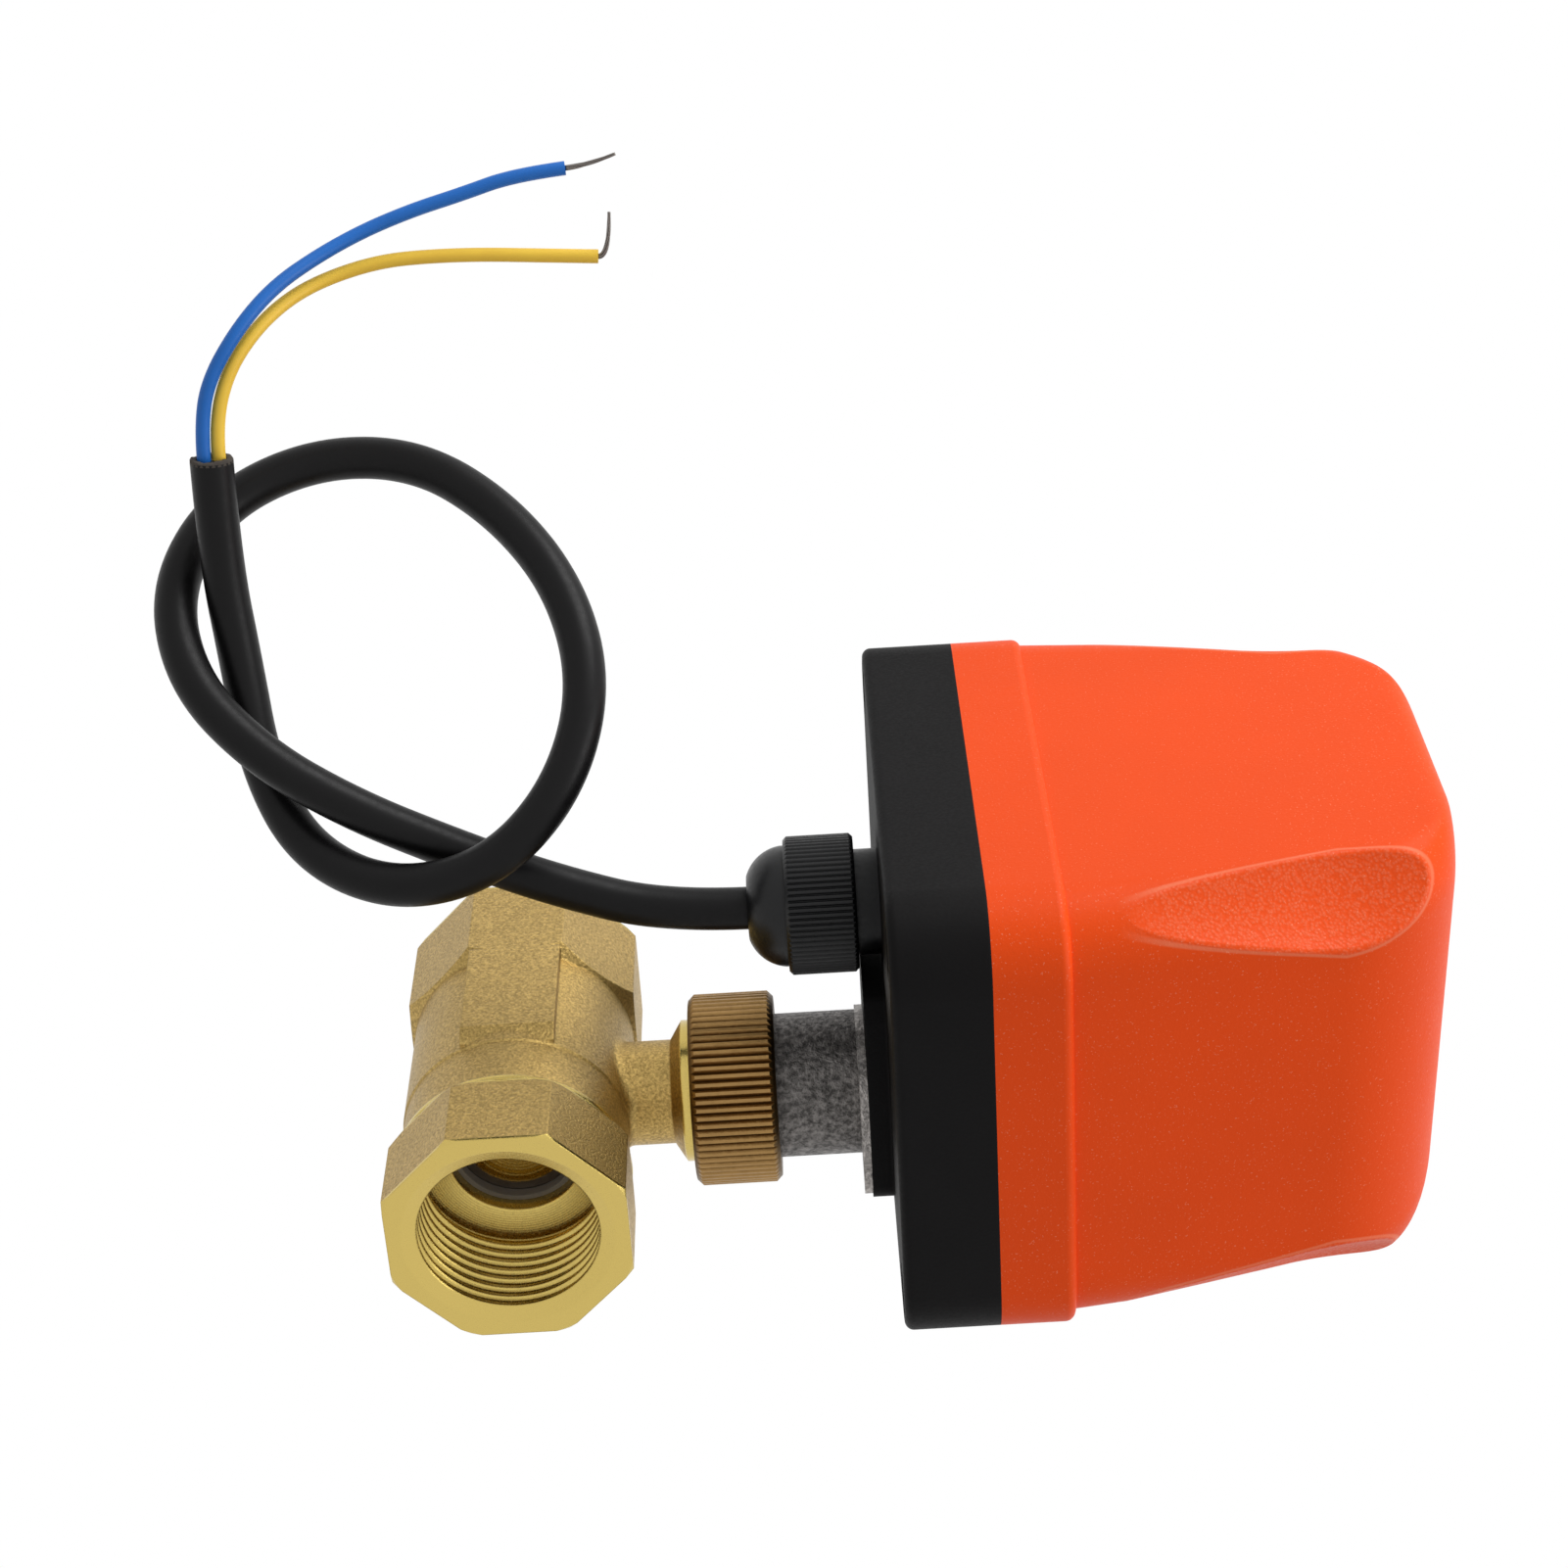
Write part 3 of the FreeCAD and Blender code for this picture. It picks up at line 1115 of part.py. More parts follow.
def make_switch_leads():
    x_leg = PRESSED_X + SWITCH_FACE + SWITCH_SIZE[0] + SWITCH_LEG_REACH
    x_end = BOARD_HALF_X - 2
    z = SWITCH_Z + SWITCH_LEG_Z + 0.3
    leads = []
    for side in (-1, 1):
        for y in SWITCH_LEG_Y[1:]:
            route = [(side * x_leg, y, z), (side * LEAD_X, y, z), (side * LEAD_X, y, LEAD_TURN_Z),
                     (side * x_end, y, LEAD_TURN_Z), (side * x_end, y, BOARD_Z)]
            leads.append(tube_along(route, THIN_LEAD_R, radius=1.8)[0])
    return Part.Compound(leads)


def make_motor_leads():
    x, y = MOTOR_PLACE
    low = UPPER_PLATE_Z + PLATE_THICK + MOTOR_HEIGHT
    return Part.Compound([rod(THIN_LEAD_R, low, BOARD_Z, x + shift, y - 12) for shift in (-9.0, -5.0)])


# Cable gland


def make_gland_body():
    low = GLAND_NUT_LOW + GLAND_WALL
    thread_top = GLAND_NUT_TOP - 0.4
    body = rod(GLAND_THREAD_R, low, thread_top, 0, GLAND_Y)
    body = body.fuse(rod(GLAND_NECK_R, low, GLAND_TOP, 0, GLAND_Y))
    body = body.cut(rod(JACKET_R + 0.3, low - 1, GLAND_TOP + 1, 0, GLAND_Y))
    seal_top = GLAND_NUT_LOW - 0.4 + GLAND_SEAL_LENGTH
    return body.cut(rod(GLAND_SEAL_R, low - 1, seal_top, 0, GLAND_Y))


def make_gland_seal():
    low = GLAND_NUT_LOW - 0.4
    return ring(JACKET_R + FIT, GLAND_SEAL_R - FIT, low, low + GLAND_SEAL_LENGTH, 0, GLAND_Y)


def make_gland_lock_nut():
    low = BASE_LOW + FLOOR
    top = low + LOCK_NUT_THICK
    nut = hexagon(LOCK_NUT_FLATS, low, top, 0, GLAND_Y)
    return nut.cut(rod(GLAND_NECK_R + FIT, low - 1, top + 1, 0, GLAND_Y))


def make_gland_nut():
    skirt = ribbed_ring(GLAND_NUT_R, 0.3, GLAND_RIBS, GLAND_NUT_LOW, GLAND_NUT_TOP, GLAND_Y)
    envelope = turned_on_axis([
        (0, GLAND_NUT_LOW), (GLAND_NUT_R - 0.5, GLAND_NUT_LOW), (GLAND_NUT_R, GLAND_NUT_LOW + 0.5),
        (GLAND_NUT_R, GLAND_NUT_TOP - 0.5), (GLAND_NUT_R - 0.5, GLAND_NUT_TOP),
        (0, GLAND_NUT_TOP)], 0, GLAND_Y)
    dome_r = GLAND_DOME_R
    mouth_r = GLAND_DOME_MOUTH_R
    middle_r, middle_z = GLAND_DOME_MIDDLE
    dome_edges = [
        Part.makeLine(at(0, GLAND_Y, GLAND_DOME_LOW), at(mouth_r, GLAND_Y, GLAND_DOME_LOW)),
        Part.Arc(at(mouth_r, GLAND_Y, GLAND_DOME_LOW), at(middle_r, GLAND_Y, middle_z),
                 at(dome_r, GLAND_Y, GLAND_NUT_LOW - 0.4)).toShape(),
        Part.makeLine(at(dome_r, GLAND_Y, GLAND_NUT_LOW - 0.4), at(dome_r, GLAND_Y, GLAND_NUT_LOW + 1)),
        Part.makeLine(at(dome_r, GLAND_Y, GLAND_NUT_LOW + 1), at(0, GLAND_Y, GLAND_NUT_LOW + 1)),
        Part.makeLine(at(0, GLAND_Y, GLAND_NUT_LOW + 1), at(0, GLAND_Y, GLAND_DOME_LOW))]
    dome = Part.Face(Part.Wire(dome_edges)).revolve(at(0, GLAND_Y, 0), Vector(0, 0, 1), 360)
    nut = skirt.common(envelope).fuse(dome)
    inner_r = GLAND_THREAD_R + RUNNING
    space = turned_on_axis([
        (0, GLAND_DOME_LOW - 1), (GLAND_MOUTH_R, GLAND_DOME_LOW - 1),
        (GLAND_MOUTH_R, GLAND_DOME_LOW + GLAND_WALL), (GLAND_SEAL_R + 0.3, GLAND_NUT_LOW - 1.6),
        (GLAND_SEAL_R + 0.3, GLAND_NUT_LOW + 1), (inner_r, GLAND_NUT_LOW + 2),
        (inner_r, GLAND_NUT_TOP + 1), (0, GLAND_NUT_TOP + 1)], 0, GLAND_Y)
    return nut.cut(space)


def make_cable_tail():
    return rod(JACKET_R, CORD_START_Z, GLAND_TOP + 1.0, 0, GLAND_Y)


# Free cable


def make_cord_pieces():
    pieces = {}
    routes = (("cable_jacket", JACKET_ROUTE, JACKET_R), ("blue_wire", BLUE_ROUTE, WIRE_R),
              ("yellow_wire", YELLOW_ROUTE, WIRE_R), ("blue_strands", BLUE_STRANDS, STRAND_R),
              ("yellow_strands", YELLOW_STRANDS, STRAND_R))
    for name, route, thickness_r in routes:
        solid, path, radii = tube_along(route, thickness_r)
        expected = math.pi * thickness_r ** 2 * path.Length
        print(name, "length", round(path.Length, 1), "radii", [round(r, 1) for r in radii],
              "volume over section times length", round(solid.Volume / expected, 4))
        pieces[name] = solid
    return pieces


def least_gap_to_itself(route, spacing=1.0, apart=30.0):
    path, _ = routed_wire([at(*place) for place in route])
    points = path.discretize(Distance=spacing)
    skip = int(apart / spacing)
    return min((points[i] - points[j]).Length
               for i in range(0, len(points), 2) for j in range(i + skip, len(points)))


def build_all():
    PARTS["end_connector"] = make_end_connector()
    PARTS["connector_seal"] = make_connector_ring()
    PARTS["valve_body"] = make_valve_body()
    PARTS["ball"] = make_ball()
    PARTS["inlet_seat"] = make_seat(-1)
    PARTS["outlet_seat"] = make_seat(1)
    PARTS["valve_stem"] = make_valve_stem()
    PARTS["stem_o_rings"] = make_stem_rings()
    PARTS["stem_thrust_washer"] = make_thrust_washer()
    PARTS["coupling_nut"] = make_coupling_nut()
    PARTS["nut_retaining_clip"] = make_retaining_clip()
    PARTS["adapter_neck"] = make_adapter_neck()
    PARTS["neck_screws"] = make_neck_screws()
    PARTS["drive_shaft"] = make_drive_shaft()
    PARTS["shaft_bushes"] = make_shaft_bushes()
    PARTS["base_housing"] = make_base_housing()
    PARTS["housing_gasket"] = gasket_ring(0)
    PARTS["cover"] = make_cover()
    PARTS["cover_screws"] = make_cover_screws()
    PARTS["lower_gear_plate"] = make_lower_plate()
    PARTS["upper_gear_plate"] = make_upper_plate()
    PARTS["plate_posts"] = make_plate_posts()
    PARTS["output_gear"] = make_output_gear()
    PARTS["slow_idler_gear"] = make_slow_gear()
    PARTS["fast_idler_gear"] = make_fast_gear()
    PARTS["gear_pins"] = make_gear_pins()
    PARTS["motor_body"] = make_motor_body()
    PARTS["motor_screws"] = make_motor_screws()
    PARTS["motor_pinion"] = make_motor_pinion()
    PARTS["switch_cam"] = make_switch_cam()
    PARTS["closed_switch"] = make_switch(1)
    PARTS["open_switch"] = make_switch(-1)
    PARTS["closed_switch_lever"] = make_switch_lever(1)
    PARTS["open_switch_lever"] = make_switch_lever(-1)
    PARTS["control_board"] = make_control_board()
    PARTS["board_posts"] = make_board_posts()
    PARTS["board_screws"] = make_board_screws()
    PARTS["storage_capacitors"] = make_storage_capacitors()
    PARTS["control_relay"] = make_relay()
    PARTS["terminal_block"] = make_terminal_block()
    PARTS["rectifier_diodes"] = make_board_diodes()
    PARTS["inner_blue_lead"], PARTS["inner_yellow_lead"] = make_inner_leads()
    PARTS["switch_leads"] = make_switch_leads()
    PARTS["motor_leads"] = make_motor_leads()
    PARTS["gland_body"] = make_gland_body()
    PARTS["gland_seal"] = make_gland_seal()
    PARTS["gland_lock_nut"] = make_gland_lock_nut()
    PARTS["gland_nut"] = make_gland_nut()
    PARTS["cable_tail"] = make_cable_tail()
    PARTS.update(make_cord_pieces())


build_all()
os.makedirs("parts", exist_ok=True)
for node, shape in PARTS.items():
    shape.exportStep("parts/" + node + ".step")
    print(node, "solids", len(shape.Solids), "valid", shape.isValid(), "volume", round(shape.Volume, 1))
print("cable to itself, centre to centre", round(least_gap_to_itself(JACKET_ROUTE), 2))
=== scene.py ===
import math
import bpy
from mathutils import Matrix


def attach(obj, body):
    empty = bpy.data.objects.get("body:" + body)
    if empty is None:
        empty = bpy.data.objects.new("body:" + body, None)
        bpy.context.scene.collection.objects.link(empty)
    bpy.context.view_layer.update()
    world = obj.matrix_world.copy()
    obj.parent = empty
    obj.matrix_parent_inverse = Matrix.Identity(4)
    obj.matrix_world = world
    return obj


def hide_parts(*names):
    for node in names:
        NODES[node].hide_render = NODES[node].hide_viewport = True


bl_info = {
    "name": "Motorized Ball Valve",
    "version": (1, 0, 0),
    "blender": (4, 5, 0),
    "location": "3D View > Sidebar > Ball Valve",
    "description": "Cable, wires, finishes, light and camera of a motorized ball valve",
    "category": "Object",
}

import bmesh
import bpy
from bpy.props import FloatProperty, FloatVectorProperty, PointerProperty
from bpy.types import NodeSocket, Operator, Panel, PropertyGroup
from mathutils import Matrix, Vector

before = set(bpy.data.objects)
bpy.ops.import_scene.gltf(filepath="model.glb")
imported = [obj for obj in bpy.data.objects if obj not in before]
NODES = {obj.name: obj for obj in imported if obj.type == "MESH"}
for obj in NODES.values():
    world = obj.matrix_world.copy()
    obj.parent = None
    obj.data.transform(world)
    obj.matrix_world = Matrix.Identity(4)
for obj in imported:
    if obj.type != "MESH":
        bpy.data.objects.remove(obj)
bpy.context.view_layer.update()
FIXED_BODY = "actuator_and_body"
STEM_X = 0.02985

# The turned cuts that make the cover's thumb grips, and the line round their rims where a
# highlight is painted, in metres

GRIP_REACH_X = 0.04519
GRIP_LOW_Y = -0.02323
GRIP_HIGH_Y = 0.05825
GRIP_R = 0.02045
GRIP_TAPER = math.radians(12.5)
GRIP_TAPER_TOP = 0.1077
GRIP_START_Z = 0.0795
GRIP_START_FADE = 0.006
GRIP_HIGHLIGHT_OUT = 0.00048

# Limits of the brass's finishes, of the painted shade in the nut's knurl grooves and of the
# painted light on the neck's foot, and the tool marks' pitch, in metres

PORT_TURNED_R = 0.0144
NEAR_FACE_X = -0.00045
FAR_FACE_X = 0.06025
COLLAR_Z, COLLAR_HALF = 0.0236, 0.00075
RIM_X, RIM_HALF = 0.0127, 0.0008
TOOL_RING_PITCH = 0.00032
KNURL_ROOT_R, KNURL_CREST_R = 0.01272, 0.01315
NECK_LIT_FOOT_Z = 0.04715

# The cable's routes, control points in millimetres from the stem's axis, and lengths in metres

JACKET_ROUTE = [
    (0.0, 29.34, 35.4), (0.0, 29.34, 22.8), (1.6, 33.9, 7.5), (3.0, 39.7, -5.8),
    (3.9, 46.1, -18.2), (6.6, 53.3, -29.8), (13.6, 61.3, -39.2), (24.8, 69.7, -42.1),
    (35.6, 77.0, -36.1), (41.6, 80.6, -23.0), (40.2, 80.2, -8.5), (31.9, 75.3, 3.4),
    (20.9, 68.2, 11.8), (9.4, 59.3, 14.7), (-0.2, 49.3, 10.5), (-4.9, 40.7, 0.5),
    (-3.6, 37.3, -13.1), (3.4, 40.0, -25.0), (12.6, 48.2, -31.1), (20.2, 60.5, -33.0),
    (24.2, 74.0, -34.4), (26.4, 87.7, -33.9)]
BLUE_ROUTE = [
    (26.01, 87.82, -34.82), (26.65, 91.79, -34.68), (27.7, 98.1, -33.2), (30.4, 104.2, -28.8),
    (35.1, 108.1, -24.0), (39.9, 110.3, -18.3), (43.1, 112.3, -12.2), (44.9, 114.1, -5.6),
    (46.1, 115.5, 1.1), (47.4, 117.2, 8.0), (48.2, 117.5, 15.0)]
YELLOW_ROUTE = [
    (26.79, 87.62, -32.98), (27.58, 92.56, -32.8), (29.6, 98.8, -30.6), (32.9, 103.3, -26.7),
    (37.6, 105.7, -22.2), (40.9, 107.0, -16.9), (42.2, 108.2, -10.3), (42.7, 108.3, -3.9),
    (43.0, 108.0, 3.1), (43.1, 107.3, 11.2), (43.1, 106.7, 18.7)]
BLUE_STRANDS = [(48.2, 117.5, 15.02), (48.57, 117.64, 18.3), (49.3, 118.7, 21.8)]
YELLOW_STRANDS = [(43.1, 106.7, 18.72), (43.15, 106.55, 20.2), (44.0, 112.5, 20.6)]
BLUE_LENGTH = 0.0685
YELLOW_LENGTH = 0.0668
CURVE_STEPS = 14
TUBE_ROUNDNESS = 9
STRAND_SIDES = 8
OUTER_STRANDS = 6
OUTER_STRAND_SHARE = 0.97
CUT_SIDES = 64

# The camera's place and its three directions, and the lamps

CAMERA_PLACE = (-0.3309, 0.25657, 0.04393)
CAMERA_RIGHT = (-0.0201, -0.0559, 0.9982)
CAMERA_UP = (0.4997, 0.8642, 0.0584)
CAMERA_BACK = (-0.8660, 0.5000, 0.0106)
LAMP_AIM = (0.03, 0.02, 0.06)
KEY_PLACE, KEY_SIZE = (0.22, 0.72, 0.45), 0.5
FILL_PLACE, FILL_SIZE = (-0.25, 0.12, 0.68), 0.4
WHITE = (1.0, 1.0, 1.0, 1.0)


def colour(name, red, green, blue):
    """A colour that a user can change."""
    return FloatVectorProperty(
        name=name, description=name + " as linear red, green and blue",
        default=(red, green, blue), min=0.0, max=1.0, size=3, subtype="COLOR")


def length(name, value):
    """A size that a user can change."""
    return FloatProperty(
        name=name, description=name + " in metres", default=value, min=0.0, unit="LENGTH",
        precision=5)


class CableSettings(PropertyGroup):
    jacket_diameter: length("Jacket diameter", 0.0058)
    wire_diameter: length("Wire diameter", 0.0019)
    strand_diameter: length("Strand diameter", 0.00027)
    strand_twist: FloatProperty(
        name="Strand twist", description="Turns of the strands per centimetre",
        default=0.6, min=0.0, max=5.0)
    strand_taper: FloatProperty(
        name="Strand taper", description="Share by which the bundle narrows towards its tip",
        default=0.45, min=0.0, max=0.9)
    sheath_thickness: length("Sheath thickness", 0.00085)
    jacket_colour: colour("Jacket colour", 0.0055, 0.0052, 0.0055)
    cut_colour: colour("Cut sheath", 0.075, 0.064, 0.055)
    blue_colour: colour("Blue insulation", 0.012, 0.15, 0.56)
    yellow_colour: colour("Yellow insulation", 1.0, 0.61, 0.062)
    strand_colour: colour("Tinned strands", 0.20, 0.18, 0.165)


class HousingSettings(PropertyGroup):
    cover_colour: colour("Cover colour", 0.90, 0.078, 0.0055)
    base_colour: colour("Base colour", 0.0062, 0.0057, 0.0059)
    grain_size: length("Moulded grain", 0.00045)
    grain_depth: length("Moulded grain depth", 0.00003)
    grip_grain_size: length("Grip grain", 0.00042)
    grip_grain_depth: length("Grip grain depth", 0.00005)
    edge_radius: length("Eased edges", 0.0004)


class ValveSettings(PropertyGroup):
    cast_colour: colour("Cast brass", 0.46, 0.315, 0.105)
    machined_colour: colour("Machined brass", 0.60, 0.45, 0.13)
    nut_colour: colour("Union nut", 0.29, 0.172, 0.062)
    neck_colour: colour("Cast neck", 0.15, 0.140, 0.133)
    # The ball's plating is darkened and warmed: painted shade of the bore and painted reflection
    # of the brass round it.
    ball_shade_and_reflection_colour: colour("Ball plating", 0.46, 0.40, 0.33)
    # The ball seats' pale plastic is given a dark grey: painted shade of the bore, used for the
    # thrust washer too.
    shaded_seat_colour: colour("Ball seats with painted shade", 0.30, 0.285, 0.28)


class StageSettings(PropertyGroup):
    lens: FloatProperty(
        name="Lens", description="Camera lens in millimetres", default=72.69, min=10.0,
        max=300.0, unit="CAMERA")
    floor_height: FloatProperty(
        name="Floor height", description="Height of the floor in metres", default=-0.6,
        unit="LENGTH")
    world_light: FloatProperty(
        name="World light", description="Strength of the even light", default=0.44, min=0.0,
        max=2.0)
    key_power: FloatProperty(
        name="Key light", description="Power of the key lamp in watts", default=4.4, min=0.0,
        max=500.0, unit="POWER")
    fill_power: FloatProperty(
        name="Fill light", description="Power of the fill lamp in watts", default=1.7, min=0.0,
        max=500.0, unit="POWER")


def in_metres(route):
    """A route's points in the part's own frame."""
    return [Vector((STEM_X + x / 1000, y / 1000, z / 1000)) for x, y, z in route]


# Nodes that the finishes and the background are made from


def put(tree, kind, **settings):
    """A new node, with its own properties or its inputs set by name."""
    node = tree.nodes.new(kind)
    for key, value in settings.items():
        if hasattr(node, key):
            setattr(node, key, value)
        else:
            node.inputs[key.replace("_", " ")].default_value = value
    return node


def feed(tree, value, socket):
    """Gives an input a link, or else a number or colour of its own."""
    if isinstance(value, NodeSocket):
        tree.links.new(value, socket)
    else:
        socket.default_value = (*value, 1.0) if isinstance(value, tuple) else value


def object_place(tree):
    return put(tree, "ShaderNodeTexCoord").outputs["Object"]


def axes(tree, place):
    """A place's x, y and z."""
    parts = put(tree, "ShaderNodeSeparateXYZ")
    tree.links.new(place, parts.inputs[0])
    return parts.outputs


def noise(tree, place, size, detail=3.0, roughness=0.5):
    """Noise whose lumps are about that many metres across."""
    node = put(tree, "ShaderNodeTexNoise", Scale=1.0 / size, Detail=detail, Roughness=roughness)
    tree.links.new(place, node.inputs["Vector"])
    return node.outputs["Fac"]


def bump(tree, height, depth, below=None):
    """A normal raised by that many metres, over another normal if one is given."""
    node = put(tree, "ShaderNodeBump", Distance=depth, Strength=1.0)
    tree.links.new(height, node.inputs["Height"])
    if below:
        tree.links.new(below, node.inputs["Normal"])
    return node.outputs["Normal"]


def eased_edges(tree, radius):
    """A normal that rounds the sharp edges by that radius, as moulding or blasting leaves them."""
    return put(tree, "ShaderNodeBevel", Radius=radius, samples=6).outputs["Normal"]


def spread(tree, value, low_in, high_in, low_out=0.0, high_out=1.0):
    """A value's range stretched to another range, and held at its ends."""
    node = put(tree, "ShaderNodeMapRange", From_Min=low_in, From_Max=high_in,
               To_Min=low_out, To_Max=high_out)
    tree.links.new(value, node.inputs["Value"])
    return node.outputs["Result"]


def mixed(tree, share, first, second):
    """Mix of two colours, each a triple or a socket, by a share from 0 to 1."""
    node = put(tree, "ShaderNodeMix", data_type="RGBA")
    tree.links.new(share, node.inputs[0])
    feed(tree, first, node.inputs[6])
    feed(tree, second, node.inputs[7])
    return node.outputs[2]


def calculated(tree, operation, *values):
    """The result of one sum on numbers and sockets."""
    node = put(tree, "ShaderNodeMath", operation=operation)
    for value, socket in zip(values, node.inputs):
        feed(tree, value, socket)
    return node.outputs[0]


def far_from(tree, value, middle):
    """How far a value is from a number, to either side."""
    return calculated(tree, "ABSOLUTE", calculated(tree, "SUBTRACT", value, middle))


def radius_of(tree, first, second):
    """Distance from an axis, from the two distances across it."""
    squares = [calculated(tree, "POWER", value, 2.0) for value in (first, second)]
    return calculated(tree, "SQRT", calculated(tree, "ADD", *squares))


def any_of(tree, first, *others):
    """The largest of some shares."""
    for other in others:
        first = calculated(tree, "MAXIMUM", first, other)
    return first


def background_share(tree):
    """1 for the rays that should see a white background: from the camera, gloss and glass."""
    rays = put(tree, "ShaderNodeLightPath").outputs
    return any_of(tree, rays["Is Glossy Ray"], rays["Is Transmission Ray"], rays["Is Camera Ray"])


def whiten_background(tree, lit, white, output):
    """Shows a plain white to the camera, and the lit shader to the light's own rays."""
    blend = put(tree, "ShaderNodeMixShader")
    tree.links.new(background_share(tree), blend.inputs[0])
    tree.links.new(lit.outputs[0], blend.inputs[1])
    tree.links.new(white.outputs[0], blend.inputs[2])
    tree.links.new(blend.outputs[0], tree.nodes[output].inputs["Surface"])


def shaded(colour_value, factor):
    """A colour made darker or lighter by a factor."""
    return tuple(min(1.0, part * factor) for part in colour_value)


# Finishes


def finish_named(name, colour_value, roughness, metallic=0.0, specular=0.5):
    """A material with its shader's own sockets set, and the tree to add detail to."""
    material = bpy.data.materials.new(name)
    material.use_nodes = True
    tree = material.node_tree
    shader = tree.nodes["Principled BSDF"]
    shader.inputs["Base Color"].default_value = (*colour_value, 1.0)
    shader.inputs["Roughness"].default_value = roughness
    shader.inputs["Metallic"].default_value = metallic
    shader.inputs["Specular IOR Level"].default_value = specular
    return material, tree, shader


def give(tree, shader, tint, normal, gloss=None):
    """Links a finish's detail to its shader."""
    tree.links.new(tint, shader.inputs["Base Color"])
    tree.links.new(normal, shader.inputs["Normal"])
    if gloss:
        tree.links.new(gloss, shader.inputs["Roughness"])


def moulded_plastic(name, colour_value, roughness, grain=0.0007, depth=0.00003, tone=0.06,
                    specular=0.45, edge_radius=0.0002):
    """Plastic with an eroded mould grain, and a little unevenness in colour and gloss."""
    material, tree, shader = finish_named(name, colour_value, roughness, specular=specular)
    place = object_place(tree)
    cloud = noise(tree, place, grain * 22, 2.0)
    tint = mixed(tree, spread(tree, cloud, 0.3, 0.7),
                 shaded(colour_value, 1 - tone), shaded(colour_value, 1 + tone))
    fine = noise(tree, place, grain, 3.0, 0.6)
    give(tree, shader, tint, bump(tree, fine, depth, below=eased_edges(tree, edge_radius)),
         spread(tree, fine, 0.3, 0.7, roughness - 0.05, roughness + 0.07))
    return material


def grip_shares(tree, place):
    """Two shares: 1 inside the cover's four thumb grips, and 1 on the line of their rims, where a
    highlight is painted.
    """
    x, y, z = axes(tree, place)
    across = calculated(tree, "SUBTRACT", far_from(tree, x, STEM_X), GRIP_REACH_X)
    along = calculated(tree, "MINIMUM", far_from(tree, y, GRIP_LOW_Y),
                       far_from(tree, y, GRIP_HIGH_Y))
    drop = calculated(tree, "MAXIMUM", calculated(tree, "SUBTRACT", GRIP_TAPER_TOP, z), 0.0)
    narrowing = calculated(tree, "MULTIPLY", drop, math.tan(GRIP_TAPER))
    reach = calculated(tree, "SUBTRACT", GRIP_R, narrowing)
    inside = calculated(tree, "SUBTRACT", reach, radius_of(tree, across, along))
    above = spread(tree, z, GRIP_START_Z, GRIP_START_Z + GRIP_START_FADE)
    share = calculated(tree, "MULTIPLY", above, spread(tree, inside, -0.0006, -0.0002))
    # A thin line just outside each grip's rim, which is painted pale: a painted highlight.
    rim_highlight = spread(tree, far_from(tree, inside, -GRIP_HIGHLIGHT_OUT), 0.0001, 0.0003, 1.0, 0.0)
    return share, calculated(tree, "MULTIPLY", above, rim_highlight)


def cover_plastic(name, settings):
    """Orange plastic with a fine grain and painted glints as light flecks, and a deep leather
    grain in the grips with painted highlights on its crests and rims.
    """
    base = tuple(settings.cover_colour)
    material, tree, shader = finish_named(name, base, 0.46, specular=0.14)
    place = object_place(tree)
    grip, rim_highlight = grip_shares(tree, place)
    tint = mixed(tree, noise(tree, place, 0.02, 2.0), shaded(base, 0.95), shaded(base, 1.05))
    # Tiny light flecks over the cover: painted glints.
    painted_glints = spread(tree, noise(tree, place, 0.0003, 1.0), 0.67, 0.73, 0.0, 0.40)
    tint = mixed(tree, painted_glints, tint, (0.95, 0.34, 0.20))
    leather = put(tree, "ShaderNodeTexVoronoi", feature="SMOOTH_F1",
                  Scale=1.0 / settings.grip_grain_size)
    leather.inputs["Smoothness"].default_value = 0.6
    tree.links.new(place, leather.inputs["Vector"])
    cells = leather.outputs["Distance"]
    # The leather grain's crests are painted paler inside the grips: a painted highlight.
    crest_highlight = calculated(tree, "MULTIPLY", grip, spread(tree, cells, 0.2, 0.6, 0.26, 0.03))
    # The crest and rim highlights together, painted into the cover's colour.
    painted_highlight = any_of(tree, crest_highlight, calculated(tree, "MULTIPLY", rim_highlight, 0.45))
    fine = noise(tree, place, settings.grain_size, 3.0, 0.6)
    gloss = calculated(tree, "SUBTRACT", spread(tree, fine, 0.3, 0.7, 0.42, 0.54),
                       calculated(tree, "MULTIPLY", grip, 0.08))
    skin = bump(tree, fine, settings.grain_depth)
    rough = calculated(tree, "MULTIPLY", grip, calculated(tree, "SUBTRACT", 1.0, cells))
    give(tree, shader, mixed(tree, painted_highlight, tint, (0.95, 0.30, 0.16)),
         bump(tree, rough, settings.grip_grain_depth, below=skin), gloss)
    return material


def extruded_plastic(name, colour_value, roughness, specular=0.5):
    """Smooth cable plastic with the faint long waves of its extrusion."""
    material, tree, shader = finish_named(name, colour_value, roughness, specular=specular)
    place = object_place(tree)
    wave = noise(tree, place, 0.006, 2.0)
    fine = noise(tree, place, 0.0009, 2.0)
    tint = mixed(tree, wave, shaded(colour_value, 0.9), shaded(colour_value, 1.1))
    give(tree, shader, tint, bump(tree, wave, 0.00004),
         spread(tree, fine, 0.3, 0.7, roughness - 0.04, roughness + 0.05))
    return material


def worked_metal(name, colour_value, roughness, grain=0.0004, depth=0.00001):
    """Turned, drawn or plated metal with fine scratches and a cloudy tone."""
    material, tree, shader = finish_named(name, colour_value, roughness, metallic=1.0)
    place = object_place(tree)
    cloud = noise(tree, place, grain * 12, 3.0)
    fine = noise(tree, place, grain, 4.0, 0.65)
    tint = mixed(tree, cloud, shaded(colour_value, 0.86), shaded(colour_value, 1.12))
    give(tree, shader, tint, bump(tree, fine, depth),
         spread(tree, fine, 0.3, 0.7, roughness - 0.06, roughness + 0.08))
    return material


